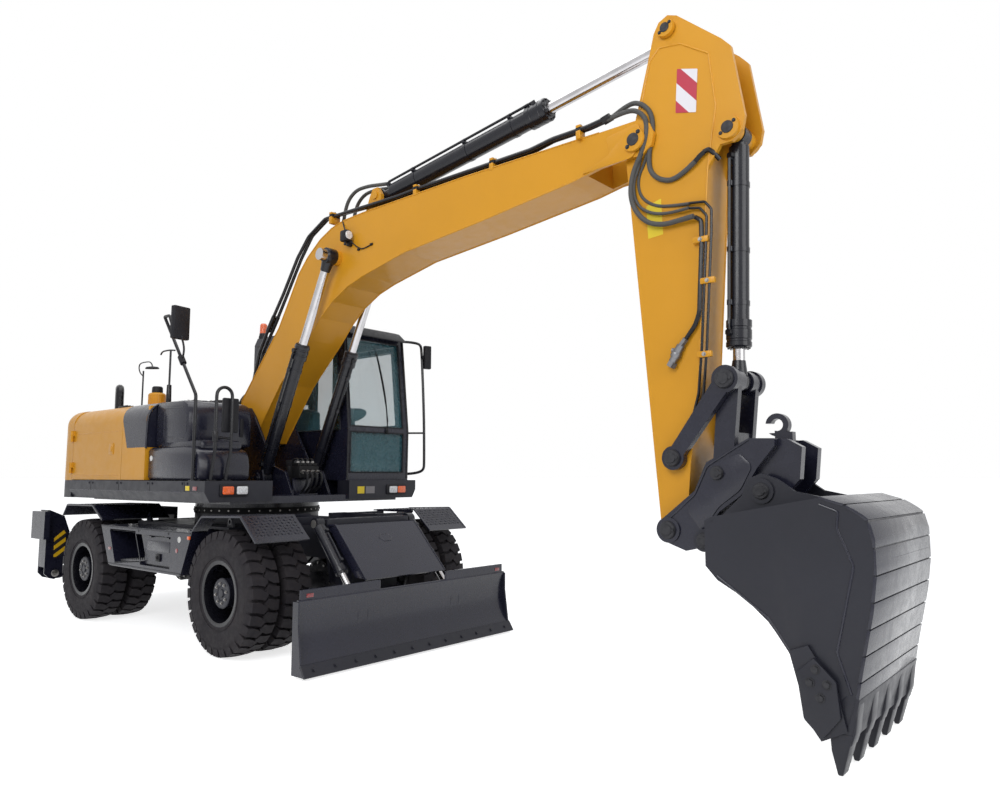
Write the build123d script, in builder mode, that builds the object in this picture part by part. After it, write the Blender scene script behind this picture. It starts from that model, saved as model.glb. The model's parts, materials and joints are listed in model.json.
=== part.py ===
from build123d import *
from math import hypot
import os

# Wheeled excavator, 18 tonne class, in millimetres. +X is forward, +Y is the cab side, +Z is up.
# The ground is Z = 0 and the origin is the middle of the machine's footprint, seen from above.
# Stations below are measured along X from the slew axis, which is midway between the axles.

# ---- driving dimensions -------------------------------------------------------------------
slew_x = -1870.0            # slew axis, from the origin
wheelbase = 2750.0
tyre_radius = 530.0
tyre_width = 275.0
dual_gap = 45.0             # between the twin tyres
overall_width = 2500.0      # over the outer tyres
kingpin_y = 880.0
rim_radius = 250.0          # tyre seat
rim_wall = 12.0
rim_flange = 38.0           # height of the flange over the tyre seat
spindle_radius = 90.0
fit = 0.3                   # running fit of a pin, a spindle or two sliding faces
gap = 6.0                   # clearance between pieces that swing past each other
plate = 12.0                # fender, cover and skirt plate

chassis_half = 330.0        # half width of the main frame
nose_half = 270.0           # half width of the frame's nose, between the blade arms
deck_z = 1018.0             # top of the side boxes
frame_top = 1048.0
side_box_bottom = 630.0
turret_radius = 640.0
turret_top = 1140.0
ring_height = 60.0
ring_outer = 650.0
ring_inner = 520.0

blade_width = 2444.0
blade_pivot = (1850.0, 450.0)
blade_arm_y = 315.0
blade_arm_width = 60.0
blade_base_pin = (1790.0, 1098.0)
blade_rod_pin = (2355.0, 458.0)
blade_cylinder_y = 545.0

outrigger_x = -2490.0
outrigger_pivot = (1130.0, 400.0)      # |Y| and Z
outrigger_width = 200.0
outrigger_base_pin = (300.0, 800.0)
outrigger_rod_pin = (1105.0, 790.0)

upper_half = 1265.0         # half width over the skirts
upper_front = 1131.0
upper_rear = -1745.0
tail_radius = 2380.0
tail_corner = 250.0
skirt_top = 1475.0
skirt_bottom = 1285.0
deck_bottom = 1262.0
hood_side = 1250.0          # half width of the hood
pole_x = 884.0              # mirror pole on the right of the platform
fuel_side = 1228.0          # half width of the machine over the fuel tank
fuel_front = 940.0
fuel_top = 1793.0
hood_shoulder = 2060.0      # where the side starts to round
hood_top = 2250.0
hood_round = 190.0
hood_wall = 40.0
panel_split = -540.0        # front edge of the rear side doors
hood_front = -40.0

cab_rear = -780.0
cab_front = 1010.0
cab_left = 1255.0
cab_top = 3170.0
cab_wall = 50.0

hinge_pin_radius = 8.0
hinge_radius = 15.0
hinge_length = 60.0
hinge_stand = 20.0          # from a door's face to its hinge axis
cab_door_hinge_x = -240.0
side_door_hinge_x = -1742.0
lid_hinge = (-836.0, 2272.0)
toolbox_hinge = (-1228.0, 946.0)        # Y and Z

boom_foot = (70.0, 2060.0)
boom_tip = (4858.0, 3864.0)
boom_base_pin = (550.0, 1500.0)
boom_rod_pin = (1548.0, 3622.0)
fork_plate = 33.0           # each side of the fork in the boom's tip
stick_half = 165.0
stick_plate = 34.0
stick_cylinder_base = (1960.0, 4190.0)
stick_cylinder_rod = (5104.0, 4615.0)
bucket_cylinder_base = (5529.0, 3773.0)
link_top = (5473.0, 2126.0)
stick_link_pin = (5102.0, 1635.0)
stick_tip = (5067.0, 1172.0)
coupler_link_pin = (5414.0, 1537.0)
bucket_rear_pin = (5706.0, 1430.0)
bucket_front_pin = (5330.0, 1120.0)
bucket_half = 595.0
bucket_side = 24.0


# ---- helpers ------------------------------------------------------------------------------
def side_plane(y):
    """A plane seen from the right side: its X is the machine's X from the slew axis, its Y is Z."""
    return Plane(origin=(slew_x, y, 0), x_dir=(1, 0, 0), z_dir=(0, -1, 0))


def front_plane(x):
    """A plane across the machine: its X is the machine's Y, its Y is Z."""
    return Plane(origin=(slew_x + x, 0, 0), x_dir=(0, 1, 0), z_dir=(1, 0, 0))


def plan_plane(z):
    """A level plane with its origin on the slew axis."""
    return Plane(origin=(slew_x, 0, z))


def slab(outline, y_a, y_b, mode=Mode.ADD):
    """A plate with an X-Z outline between two Y stations."""
    with BuildSketch(side_plane(max(y_a, y_b))) as sketch:
        with BuildLine():
            Polyline(*outline, close=True)
        make_face()
    extrude(sketch.sketch, amount=abs(y_a - y_b), mode=mode)


def cross(outline, x_a, x_b, mode=Mode.ADD):
    """A bar with a Y-Z outline between two X stations."""
    with BuildSketch(front_plane(min(x_a, x_b))) as sketch:
        with BuildLine():
            Polyline(*outline, close=True)
        make_face()
    extrude(sketch.sketch, amount=abs(x_a - x_b), mode=mode)


def block(x_a, x_b, y_a, y_b, z_a, z_b, mode=Mode.ADD):
    """A box between two corners."""
    middle = (slew_x + (x_a + x_b) / 2, (y_a + y_b) / 2, (z_a + z_b) / 2)
    with Locations(middle):
        Box(abs(x_b - x_a), abs(y_b - y_a), abs(z_b - z_a), mode=mode)


def pin(point, y_a, y_b, radius, mode=Mode.ADD):
    """A cylinder along Y through an X-Z point."""
    centre = Location((slew_x + point[0], (y_a + y_b) / 2, point[1]), (90, 0, 0))
    with Locations(centre):
        Cylinder(radius, abs(y_b - y_a), mode=mode)


def post(x, y, z_a, z_b, radius, mode=Mode.ADD):
    """An upright cylinder."""
    with Locations((slew_x + x, y, (z_a + z_b) / 2)):
        Cylinder(radius, z_b - z_a, mode=mode)


def ram(start, end, y, radius, s_a, s_b, mode=Mode.ADD):
    """A cylinder in the X-Z plane at y, on the line from start to end, between two distances."""
    length = hypot(end[0] - start[0], end[1] - start[1])
    way = ((end[0] - start[0]) / length, (end[1] - start[1]) / length)
    origin = (slew_x + start[0] + way[0] * s_a, y, start[1] + way[1] * s_a)
    with BuildSketch(Plane(origin=origin, z_dir=(way[0], 0, way[1]))) as sketch:
        Circle(radius)
    extrude(sketch.sketch, amount=s_b - s_a, mode=mode)


def cross_ram(start, end, x, radius, s_a, s_b, mode=Mode.ADD):
    """A cylinder in the Y-Z plane at x, on the line from start to end, between two distances."""
    length = hypot(end[0] - start[0], end[1] - start[1])
    way = ((end[0] - start[0]) / length, (end[1] - start[1]) / length)
    origin = (slew_x + x, start[0] + way[0] * s_a, start[1] + way[1] * s_a)
    with BuildSketch(Plane(origin=origin, z_dir=(0, way[0], way[1]))) as sketch:
        Circle(radius)
    extrude(sketch.sketch, amount=s_b - s_a, mode=mode)


def fore_pin(x_a, x_b, y, z, radius, mode=Mode.ADD):
    """A cylinder along X through a Y-Z point."""
    centre = Location((slew_x + (x_a + x_b) / 2, y, z), (0, 90, 0))
    with Locations(centre):
        Cylinder(radius, abs(x_b - x_a), mode=mode)


def bent_plate(path, thickness, y_a, y_b):
    """A plate folded along an X-Z path; the path is its outer face, to the left of its run."""
    with BuildSketch(side_plane(max(y_a, y_b))) as sketch:
        with BuildLine() as line:
            Polyline(*path)
            offset(amount=thickness, side=Side.RIGHT)
        make_face()
    extrude(sketch.sketch, amount=abs(y_a - y_b))


def hinge_pin(x, y, z, reach_x, reach_y):
    """The fixed half of an upright hinge: a pin in a knuckle, joined to its piece by a short block."""
    post(x, y, z - hinge_length, z + hinge_length - 4, hinge_pin_radius)
    post(x, y, z - hinge_length, z - fit, hinge_radius)
    block(x, x + reach_x, y, y + reach_y, z - hinge_length, z - fit)


def hinge_eye(x, y, z, reach_x, reach_y):
    """The moving half of an upright hinge, above the fixed one on the same pin."""
    post(x, y, z + fit, z + hinge_length, hinge_radius)
    block(x, x + reach_x, y, y + reach_y, z + fit, z + hinge_length)
    post(x, y, z, z + hinge_length + 1, hinge_pin_radius + fit, Mode.SUBTRACT)


def distance(a, b):
    """The distance between two points of a plane."""
    return hypot(b[0] - a[0], b[1] - a[1])


def save(builder, name):
    """Labels a finished piece and writes it as STEP."""
    builder.part.label = name
    export_step(builder.part, "parts/" + name + ".step")


os.makedirs("parts", exist_ok=True)
cab_floor = skirt_top + fit
front_axle_x = wheelbase / 2
rear_axle_x = -wheelbase / 2
box_front = front_axle_x - 457
box_rear = rear_axle_x + 452
toolbox_front = box_front - 378
fork_half = stick_half + gap + 1
boom_half = fork_half + fork_plate
boom_cylinder_y = boom_half + 100
cab_right = boom_cylinder_y + 77
sides = (("right", -1), ("left", 1))        # name, sign of Y

# ---- main frame ---------------------------------------------------------------------------
frame_outline = [
    (-2300, 560), (rear_axle_x - 475, 560), (rear_axle_x - 385, 770), (rear_axle_x + 385, 770),
    (rear_axle_x + 515, 640), (front_axle_x - 515, 640), (front_axle_x - 385, 770), (1640, 770),
    (1700, 560), (1700, frame_top), (-1000, frame_top), (-2300, deck_z - 60),
]
nose_outline = [(1700, 560), (1790, 380), (1910, 380), (1935, 500), (1935, 1000), (1860, 1040), (1700, 1040)]
with BuildPart() as chassis_frame:
    slab(frame_outline, -chassis_half, chassis_half)
    slab(nose_outline, -nose_half, nose_half)
    pin(blade_pivot, -blade_arm_y - blade_arm_width / 2 - 12, blade_arm_y + blade_arm_width / 2 + 12, 35)
    block(1715, 1850, -488, 488, 1062, 1134)
    block(1690, 1720, -nose_half, nose_half, 1000, 1134)
    for side in (-1, 1):
        pin(blade_base_pin, side * 470, side * (blade_cylinder_y + 44), 26)
        for bracket_x in (front_axle_x - 255, front_axle_x + 185):
            block(bracket_x, bracket_x + 60, side * chassis_half, side * 760, 1080, 1150)
        for bracket_x in (rear_axle_x - 185, rear_axle_x + 125):
            block(bracket_x, bracket_x + 60, side * chassis_half, side * 640, 1080, 1168)
    for side in (-1, 1):
        block(front_axle_x - 315, front_axle_x - 255, side * chassis_half, side * (chassis_half - 200),
              1000, 1150)
        block(front_axle_x - 255, front_axle_x + 245, side * (chassis_half - 40), side * chassis_half,
              1000, 1150)
        block(rear_axle_x - 185, rear_axle_x + 185, side * (chassis_half - 40), side * chassis_half,
              960, 1168)
save(chassis_frame, "chassis_frame")

with BuildPart() as carriage_deck:
    block(-900, 900, -880, 880, deck_z + fit, deck_z + 25)
    post(0, 0, deck_z + fit, turret_top, turret_radius)
    block(-1000, 1000, -chassis_half - fit, chassis_half + fit, deck_z - 10, frame_top + fit, Mode.SUBTRACT)
    for side in (-1, 1):
        for eye_x in (800, -800):
            slab([(eye_x - 55, deck_z + 20), (eye_x + 55, deck_z + 20), (eye_x + 20, 1130),
                  (eye_x - 20, 1130)],
                 side * 790, side * 812)
            pin((eye_x, 1090), side * 780, side * 820, 18, Mode.SUBTRACT)
save(carriage_deck, "carriage_deck")

with BuildPart() as slew_ring:
    with BuildSketch(plan_plane(turret_top)):
        Circle(ring_outer)
        Circle(ring_inner, mode=Mode.SUBTRACT)
    extrude(amount=ring_height)
save(slew_ring, "slew_ring")

# ---- axles, knuckles and wheels -------------------------------------------------------------
arm_drop = 105.0            # half height of the knuckle between the axle's fork arms
with BuildPart() as front_axle:
    pin((front_axle_x, tyre_radius), -640, 640, 93)
    pin((front_axle_x, tyre_radius), -210, 90, 200)
    block(front_axle_x - 90, front_axle_x + 90, -150, 150, tyre_radius, 769.7)
    for side in (-1, 1):
        block(front_axle_x - 50, front_axle_x + 50, side * 615, side * 655, tyre_radius - 145,
              tyre_radius + 145)
        for up in (-1, 1):
            block(front_axle_x - 50, front_axle_x + 50, side * 640, side * (kingpin_y + 28),
                  tyre_radius + up * arm_drop, tyre_radius + up * 145)
    pin((front_axle_x - 190, tyre_radius), -330, 330, 45)
    block(front_axle_x - 190, front_axle_x, -60, 60, tyre_radius - 40, tyre_radius + 40)
save(front_axle, "front_axle")

with BuildPart() as rear_axle:
    pin((rear_axle_x, tyre_radius), -760, 760, 110)
    pin((rear_axle_x, tyre_radius), -1000, 1000, spindle_radius)
    pin((rear_axle_x, tyre_radius), -120, 200, 225)
    for side in (-1, 1):
        block(rear_axle_x - 110, rear_axle_x + 110, side * 190, side * 310, tyre_radius, 769.7)
    block(rear_axle_x + 60, rear_axle_x + 420, -150, 170, tyre_radius - 110, tyre_radius + 110)
    fore_pin(rear_axle_x + 420, front_axle_x - 190 - 45 - fit, 0, tyre_radius + 10, 42)
save(rear_axle, "rear_axle")

for name, side in sides:
    with BuildPart() as knuckle:
        post(front_axle_x, side * kingpin_y, tyre_radius - arm_drop + fit, tyre_radius + arm_drop - fit, 50)
        pin((front_axle_x, tyre_radius), side * kingpin_y, side * 1000, spindle_radius)
    save(knuckle, "knuckle_" + name)

outer_face = overall_width / 2
inner_face = outer_face - 2 * tyre_width - dual_gap
tyre_starts = (inner_face, outer_face - tyre_width)
wheel_stations = (("front", front_axle_x), ("rear", rear_axle_x))
for axle_name, axle_x in wheel_stations:
    for name, side in sides:
        hub = (axle_x, tyre_radius)
        with BuildPart() as wheel:
            pin(hub, side * (inner_face + 10), side * (outer_face - 10), rim_radius)
            for start in tyre_starts:
                for flange_y in (start + 10, start + tyre_width - 22):
                    pin(hub, side * flange_y, side * (flange_y + rim_wall), rim_radius + rim_flange)
            pin(hub, side * (inner_face + 10), side * (outer_face - 10), rim_radius - rim_wall, Mode.SUBTRACT)
            pin(hub, side * 944, side * 962, rim_radius - rim_wall)
            pin(hub, side * 944, side * (outer_face - 35), 128)
            pin(hub, side * 930, side * (1000 + fit), spindle_radius + fit, Mode.SUBTRACT)
        save(wheel, "wheel_" + axle_name + "_" + name)
        with BuildPart() as tyres:
            for start in tyre_starts:
                seat = start + 10 + rim_wall + 1
                far_seat = start + tyre_width - 22 - 1
                end = start + tyre_width
                profile = [
                    (seat, rim_radius + fit), (seat, rim_radius + rim_flange + 4), (start, 340), (start, 455),
                    (start + 14, 500), (start + 40, tyre_radius), (end - 40, tyre_radius), (end - 14, 500),
                    (end, 455), (end, 340), (far_seat, rim_radius + rim_flange + 4),
                    (far_seat, rim_radius + fit),
                ]
                around = Axis((slew_x + axle_x, 0, tyre_radius), (0, 1, 0))
                with BuildSketch(Plane(origin=(slew_x + axle_x, 0, tyre_radius), x_dir=(0, 1, 0),
                                       z_dir=(1, 0, 0))) as section:
                    with BuildLine():
                        Polyline(*[(side * y, r) for y, r in profile], close=True)
                    make_face()
                revolve(section.sketch, axis=around)
        save(tyres, "tyres_" + axle_name + "_" + name)

# ---- fenders and side boxes -----------------------------------------------------------------
front_fender_path = [(front_axle_x - 313, 1165), (front_axle_x + 308, 1185), (front_axle_x + 545, 983)]
front_leg_path = [(box_front - 48, deck_z + fit + plate), (box_front - 13, deck_z + fit + plate),
                  (front_axle_x - 313, 1165)]
rear_fender_path = [(rear_axle_x - 555, 1090), (rear_axle_x - 455, 1205), (rear_axle_x + 201, 1212),
                    (rear_axle_x + 452, 1069)]
with BuildPart() as fenders:
    for side in (-1, 1):
        bent_plate(front_leg_path + front_fender_path[1:], plate, side * 1100, side * 1250)
        bent_plate(front_fender_path, plate, side * 720, side * 1200)
        block(front_axle_x - 265, front_axle_x + 265, side * 724, side * 752, 1150 + fit, 1170)
        bent_plate(rear_fender_path, plate, side * 520, side * 1250)
        block(rear_axle_x - 205, rear_axle_x + 195, side * 530, side * 636, 1168 + fit, 1202)
save(fenders, "fenders")
toolbox_hinges = (60, toolbox_front - 140)
with BuildPart() as side_boxes:
    for side in (-1, 1):
        slab([(box_rear, deck_z), (box_front, deck_z), (box_front - 176, side_box_bottom),
              (box_rear + 208, side_box_bottom)], side * 1100, side * 1250)
        slab([(box_rear + 73, deck_z), (box_front - 358, deck_z), (box_front - 358, side_box_bottom),
              (box_rear + 263, side_box_bottom)], side * (chassis_half + fit), side * 1100)
        slab([(box_rear + 201, 975), (-164, 975), (-31, 704), (box_rear + 346, 660)],
             side * 800, side * 1250, Mode.SUBTRACT)
        slab([(-165, 960), (toolbox_front, 960), (toolbox_front, 672), (-31, 672)],
             side * 1190, side * 1251, Mode.SUBTRACT)
        block(60, toolbox_front - 40, side * 850, side * 1250, 700, 940, Mode.SUBTRACT)
    for x in toolbox_hinges:
        fore_pin(x, x + 76, toolbox_hinge[0], toolbox_hinge[1], 5)
        fore_pin(x, x + 40 - fit, toolbox_hinge[0], toolbox_hinge[1], 9)
        block(x, x + 40 - fit, toolbox_hinge[0] - 7, toolbox_hinge[0] + 7, toolbox_hinge[1], 962)
save(side_boxes, "side_boxes")

with BuildPart() as toolbox_door:
    block(-10, toolbox_front - 25, -1196, -1216, 684, 948)
    for x in toolbox_hinges:
        fore_pin(x + 40 + fit, x + 80, toolbox_hinge[0], toolbox_hinge[1], 9)
        block(x + 40 + fit, x + 80, -1214, toolbox_hinge[0], toolbox_hinge[1] - 9, toolbox_hinge[1] - 1)
        fore_pin(x + 30, x + 81, toolbox_hinge[0], toolbox_hinge[1], 5 + fit, Mode.SUBTRACT)
        fore_pin(x, x + 40 + fit, toolbox_hinge[0], toolbox_hinge[1], 12, Mode.SUBTRACT)
save(toolbox_door, "toolbox_door")

# ---- dozer blade ----------------------------------------------------------------------------
blade_half = blade_width / 2
with BuildPart() as blade:
    with BuildSketch(side_plane(blade_half)) as board:
        with BuildLine():
            ThreePointArc((2470, 566), (2440, 330), (2520, 90))
            Line((2520, 90), (2564, 22))
            Line((2564, 22), (2530, 22))
            Line((2530, 22), (2462, 90))
            ThreePointArc((2462, 90), (2412, 330), (2440, 566))
            Line((2440, 566), (2470, 566))
        make_face()
    extrude(board.sketch, amount=blade_width)
    for side in (-1, 1):
        slab([(2300 + 110, 22), (2564, 22), (2520, 90), (2478, 400), (2478, 566), (2410, 566)],
             side * (blade_half - 16), side * blade_half)
        block(2440, 2464, side * 400, side * 1180, 560, 652)
        slab([(2305, 420), (2440, 300), (2440, 550), (2400, 540), (2315, 505)],
             side * (blade_cylinder_y - 61), side * (blade_cylinder_y - 40))
        slab([(2305, 420), (2440, 300), (2440, 550), (2400, 540), (2315, 505)],
             side * (blade_cylinder_y + 40), side * (blade_cylinder_y + 64))
    for side in (-1, 1):
        arm = [(1795, 455), (1860, 505), (2000, 470), (2330, 395), (2380, 315), (2425, 310),
               (2425, 200), (2340, 190), (1990, 350), (1860, 395)]
        slab(arm, side * (blade_arm_y - blade_arm_width / 2), side * (blade_arm_y + blade_arm_width / 2))
        pin(blade_pivot, side * (blade_arm_y - blade_arm_width / 2),
            side * (blade_arm_y + blade_arm_width / 2), 62)
        pin(blade_pivot, side * 200, side * 400, 35 + fit, Mode.SUBTRACT)
    block(2330, 2425, -blade_arm_y, blade_arm_y, 200, 310)
save(blade, "dozer_blade")

with BuildPart() as blade_cover:
    bent_plate([(1850 + fit, 1085), (1950, 1090), (2372, 653)], plate, -478, 478)
    for side in (-1, 1):
        slab([(1935 + fit, 1078), (1950, 1080), (2348, 659), (1935 + fit, 659)],
             side * (nose_half - 20), side * nose_half)
        slab([(1860, 1062), (1950, 1080), (2358, 659), (2240, 659)], side * 466, side * 478)
save(blade_cover, "blade_cover")

blade_closed = distance(blade_base_pin, blade_rod_pin)
with BuildPart() as blade_cylinders:
    for side in (-1, 1):
        y = side * blade_cylinder_y
        ram(blade_base_pin, blade_rod_pin, y, 52, 40, 540)
        pin(blade_base_pin, y - 38, y + 38, 55)
        pin(blade_base_pin, y - 60, y + 60, 26 + fit, Mode.SUBTRACT)
        ram(blade_base_pin, blade_rod_pin, y, 30 + fit, 90, 600, Mode.SUBTRACT)
save(blade_cylinders, "blade_cylinders")
with BuildPart() as blade_rods:
    for side in (-1, 1):
        y = side * blade_cylinder_y
        ram(blade_base_pin, blade_rod_pin, y, 30, 345, blade_closed)
        pin(blade_rod_pin, y - 38, y + 38, 48)
        pin(blade_rod_pin, y - 40 + fit, y + 40 - fit, 26)
save(blade_rods, "blade_rods")

# ---- rear outriggers ------------------------------------------------------------------------
lug_half = outrigger_width / 2 - 17 - gap
with BuildPart() as outrigger_frame:
    block(-2300 - fit, -2540, -905, 905, 470, 720)
    block(-2300 - fit, -2540, -400, 400, 400, 900)
    for side in (-1, 1):
        beam = [(880, 500), (880, 400), (1060, 335), (1130, 335), (1190, 370), (1190, 405), (1165, 432),
                (1130, 438), (1000, 455)]
        cross([(side * y, z) for y, z in beam], outrigger_x - lug_half, outrigger_x + lug_half)
    block(-2360, -2545, -905, 905, 505, 905, Mode.SUBTRACT)
    block(-2300, -2360, -905, 905, 470, 900)
    for side in (-1, 1):
        for lug_x in (outrigger_x - 68, outrigger_x + 42):
            block(lug_x, lug_x + 26, side * 240, side * 360, 500, 860)
        fore_pin(outrigger_x - 68, outrigger_x + 68, side * outrigger_base_pin[0], outrigger_base_pin[1], 25)
        fore_pin(outrigger_x - 118, outrigger_x + 118, side * outrigger_pivot[0], outrigger_pivot[1], 30)
save(outrigger_frame, "outrigger_frame")

leg_outline = [(1240, 1125), (1213, 1125), (1052, 1052), (985, 865), (1050, 430), (1080, 350), (1130, 328),
               (1190, 345), (1240, 400)]
for name, side in sides:
    with BuildPart() as leg:
        sided = [(side * y, z) for y, z in leg_outline]
        cross(sided, outrigger_x - outrigger_width / 2, outrigger_x - outrigger_width / 2 + 17)
        cross(sided, outrigger_x + outrigger_width / 2 - 17, outrigger_x + outrigger_width / 2)
        block(outrigger_x - 95, outrigger_x + 95, side * 1224, side * 1240, 470, 1125)
        block(outrigger_x - 190, outrigger_x + 190, side * 1240, side * 1300, 795, 1110)
        block(outrigger_x - 170, outrigger_x + 170, side * 1238, side * 1280, 815, 1090, Mode.SUBTRACT)
        block(outrigger_x - 90, outrigger_x + 90, side * 1240, side * 1285, 860, 1050)
        fore_pin(outrigger_x - 130, outrigger_x + 130, side * outrigger_pivot[0], outrigger_pivot[1],
                 30 + fit, Mode.SUBTRACT)
    save(leg, "outrigger_leg_" + name)
    base = (side * outrigger_base_pin[0], outrigger_base_pin[1])
    rod_end = (side * outrigger_rod_pin[0], outrigger_rod_pin[1])
    reach = distance(base, rod_end)
    with BuildPart() as barrel:
        cross_ram(base, rod_end, outrigger_x, 36, 30, 90)
        cross_ram(base, rod_end, outrigger_x, 45, 80, 735)
        fore_pin(outrigger_x - 38, outrigger_x + 38, base[0], base[1], 48)
        fore_pin(outrigger_x - 60, outrigger_x + 60, base[0], base[1], 25 + fit, Mode.SUBTRACT)
        cross_ram(base, rod_end, outrigger_x, 25 + fit, 80, 790, Mode.SUBTRACT)
    save(barrel, "outrigger_cylinder_" + name)
    with BuildPart() as rod:
        cross_ram(base, rod_end, outrigger_x, 25, 100, reach)
        fore_pin(outrigger_x - 38, outrigger_x + 38, rod_end[0], rod_end[1], 42)
        fore_pin(outrigger_x - 83 + fit, outrigger_x + 83 - fit, rod_end[0], rod_end[1], 22)
    save(rod, "outrigger_rod_" + name)

# ---- upper structure ------------------------------------------------------------------------
flange_bottom = turret_top + ring_height + fit
cheek_outline = [(-350, 1330), (950, 1330), (820, 1560), (620, 1620), (250, 2140), (150, 2240), (0, 2240),
                 (-110, 2120), (-330, 1700)]
with BuildPart() as upper_frame:
    with BuildSketch(plan_plane(flange_bottom)):
        Circle(ring_outer - 10)
        Circle(ring_inner - 10, mode=Mode.SUBTRACT)
    extrude(amount=deck_bottom - flange_bottom)
    block(-1740, upper_front - 30, -999, 999, deck_bottom, 1330)
    for side in (-1, 1):
        slab(cheek_outline, side * (boom_half + gap), side * (boom_half + 31))
        slab([(430, 1330), (700, 1330), (640, 1580), (460, 1580)],
             side * (boom_cylinder_y + 61), side * (boom_cylinder_y + 75))
        pin(boom_base_pin, side * (boom_half + 25), side * (boom_cylinder_y + 75), 40)
        block(-1740, -350, side * 350, side * 420, 1330, 1470)
    pin(boom_foot, -boom_half - 41, boom_half + 41, 50)
    block(-740, -660, 425, 995, 1330, skirt_top)
    block(600, 680, 425, 995, 1330, skirt_top)
save(upper_frame, "upper_frame")

def tail_block(bottom, top):
    """The rounded tail in plan, raised between two levels."""
    with BuildSketch(plan_plane(bottom)) as plan:
        Circle(tail_radius)
        with Locations((-tail_radius, 0)):
            Rectangle(2 * (tail_radius + upper_rear), 2 * hood_side, mode=Mode.INTERSECT)
        fillet(plan.vertices().sort_by(Axis.X)[:2], tail_corner)
    extrude(plan.sketch, amount=top - bottom)


with BuildPart() as skirts:
    for side in (-1, 1):
        section = [(side * 1000, skirt_top), (side * upper_half, skirt_top), (side * upper_half, 1372),
                   (side * 1215, skirt_bottom), (side * 1000, skirt_bottom)]
        cross(section, upper_rear + fit, upper_front)
    block(760, upper_front, -1000, -580, skirt_bottom, skirt_top)
    block(940, upper_front, 330, 1000, skirt_bottom, skirt_top)
    block(740, upper_front - 30 + fit, -999 - fit, 999 + fit, deck_bottom - 2, 1330 + fit, Mode.SUBTRACT)
    tail_block(skirt_bottom, skirt_top)
save(skirts, "skirts")

with BuildPart() as counterweight:
    tail_block(skirt_top + fit, hood_top)
    rim = counterweight.faces().sort_by(Axis.Z)[-1].edges().filter_by(
        lambda e: e.center().X < slew_x + upper_rear - 1)
    fillet(rim, hood_round - 20)
    for side in (-1, 1):
        for z in (1610, 1960):
            hinge_pin(side_door_hinge_x, side * (hood_side + hinge_stand), z, -30, -side * (hinge_stand + 4))
save(counterweight, "counterweight")

# ---- hood, doors and engine -----------------------------------------------------------------
def shoulder(side, x_a, x_b, wall):
    """A side panel that rises and then rounds over to the hood's top."""
    edge = hood_side - hood_round
    with BuildSketch(front_plane(x_a)) as section:
        with BuildLine():
            Line((side * hood_side, skirt_top + gap), (side * hood_side, hood_shoulder))
            RadiusArc((side * hood_side, hood_shoulder), (side * edge, hood_top), -side * hood_round)
            Line((side * edge, hood_top), (side * edge, hood_top - wall))
            RadiusArc((side * edge, hood_top - wall), (side * (hood_side - wall), hood_shoulder),
                      side * (hood_round - wall))
            Line((side * (hood_side - wall), hood_shoulder), (side * (hood_side - wall), skirt_top + gap))
            Line((side * (hood_side - wall), skirt_top + gap), (side * hood_side, skirt_top + gap))
        make_face()
    extrude(section.sketch, amount=x_b - x_a)


side_doors = (("rear_door_right", -1, upper_rear + gap, panel_split - gap),
              ("rear_door_left", 1, upper_rear + gap, cab_rear - 30))
for name, side, x_a, x_b in side_doors:
    with BuildPart() as door:
        shoulder(side, x_a, x_b, hood_wall)
        for z in (1610, 1960):
            hinge_eye(side_door_hinge_x, side * (hood_side + hinge_stand), z, 30, -side * (hinge_stand + 4))
    save(door, name)

lid_edges = (-1660.0, -850.0, -520.0, 760.0)        # X from, X to, Y from, Y to
with BuildPart() as hood_frame:
    edge = hood_side - hood_round - gap
    block(upper_rear + fit, hood_front, -edge, 340, hood_top - hood_wall, hood_top)
    block(upper_rear + fit, cab_rear - 20, 330, edge, hood_top - hood_wall, hood_top)
    block(lid_edges[0], lid_edges[1], lid_edges[2], lid_edges[3], hood_top - 60, hood_top + 10, Mode.SUBTRACT)
    shoulder(-1, panel_split, hood_front, hood_wall)
    block(panel_split, hood_front, -1070, -1040, hood_top - hood_wall, hood_top)
    block(hood_front - 40, hood_front, -1215, 320, skirt_top + gap, hood_top - hood_wall + 1)
    block(-370, hood_front + 10, -300, 345, 1331, hood_top + 10, Mode.SUBTRACT)
    block(-400, -360, -340, 340, 1470 + fit, hood_top - 10)
    block(upper_rear + fit, upper_rear + 40, -1040, 1040, skirt_top + fit, hood_top - 10)
    block(cab_rear - 60, cab_rear - 20, 345, edge, skirt_top + fit, hood_top - 10)
    block(hood_front - 60, hood_front, -990, -310, 1330 + fit, skirt_top + 20)
    for y in (-300, 540):
        pin(lid_hinge, y - hinge_length, y + hinge_length - 4, hinge_pin_radius)
        pin(lid_hinge, y - hinge_length, y - fit, hinge_radius)
        block(lid_hinge[0] - 12, lid_hinge[0] + 12, y - hinge_length, y - fit, hood_top - 5, lid_hinge[1])
save(hood_frame, "hood_frame")

with BuildPart() as engine_hood:
    block(lid_edges[0] + gap, lid_edges[1] - gap, lid_edges[2] + gap, lid_edges[3] - gap,
          hood_top - hood_wall, hood_top + 30)
    for y in (-300, 540):
        pin(lid_hinge, y + fit, y + hinge_length, hinge_radius)
        block(lid_hinge[0] - 40, lid_hinge[0], y + fit, y + hinge_length, hood_top + 12, hood_top + 30)
        pin(lid_hinge, y, y + hinge_length + 1, hinge_pin_radius + fit, Mode.SUBTRACT)
save(engine_hood, "engine_hood")

with BuildPart() as engine_block:
    block(-1600, -870, -500, 540, 1470 + fit, 2090)
save(engine_block, "engine_block")

with BuildPart() as fuel_tank:
    slab([(hood_front + gap, skirt_top + fit), (fuel_front, skirt_top + fit), (fuel_front - 5, 1620),
          (fuel_front - 35, 1715), (fuel_front - 110, 1770), (fuel_front - 220, fuel_top),
          (hood_front + gap, fuel_top)], -fuel_side, -660)
    slab([(hood_front + gap, 1330 + fit), (740, 1330 + fit), (740, 1500), (hood_front + gap, 1500)], -990, -480)
save(fuel_tank, "fuel_tank")

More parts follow.
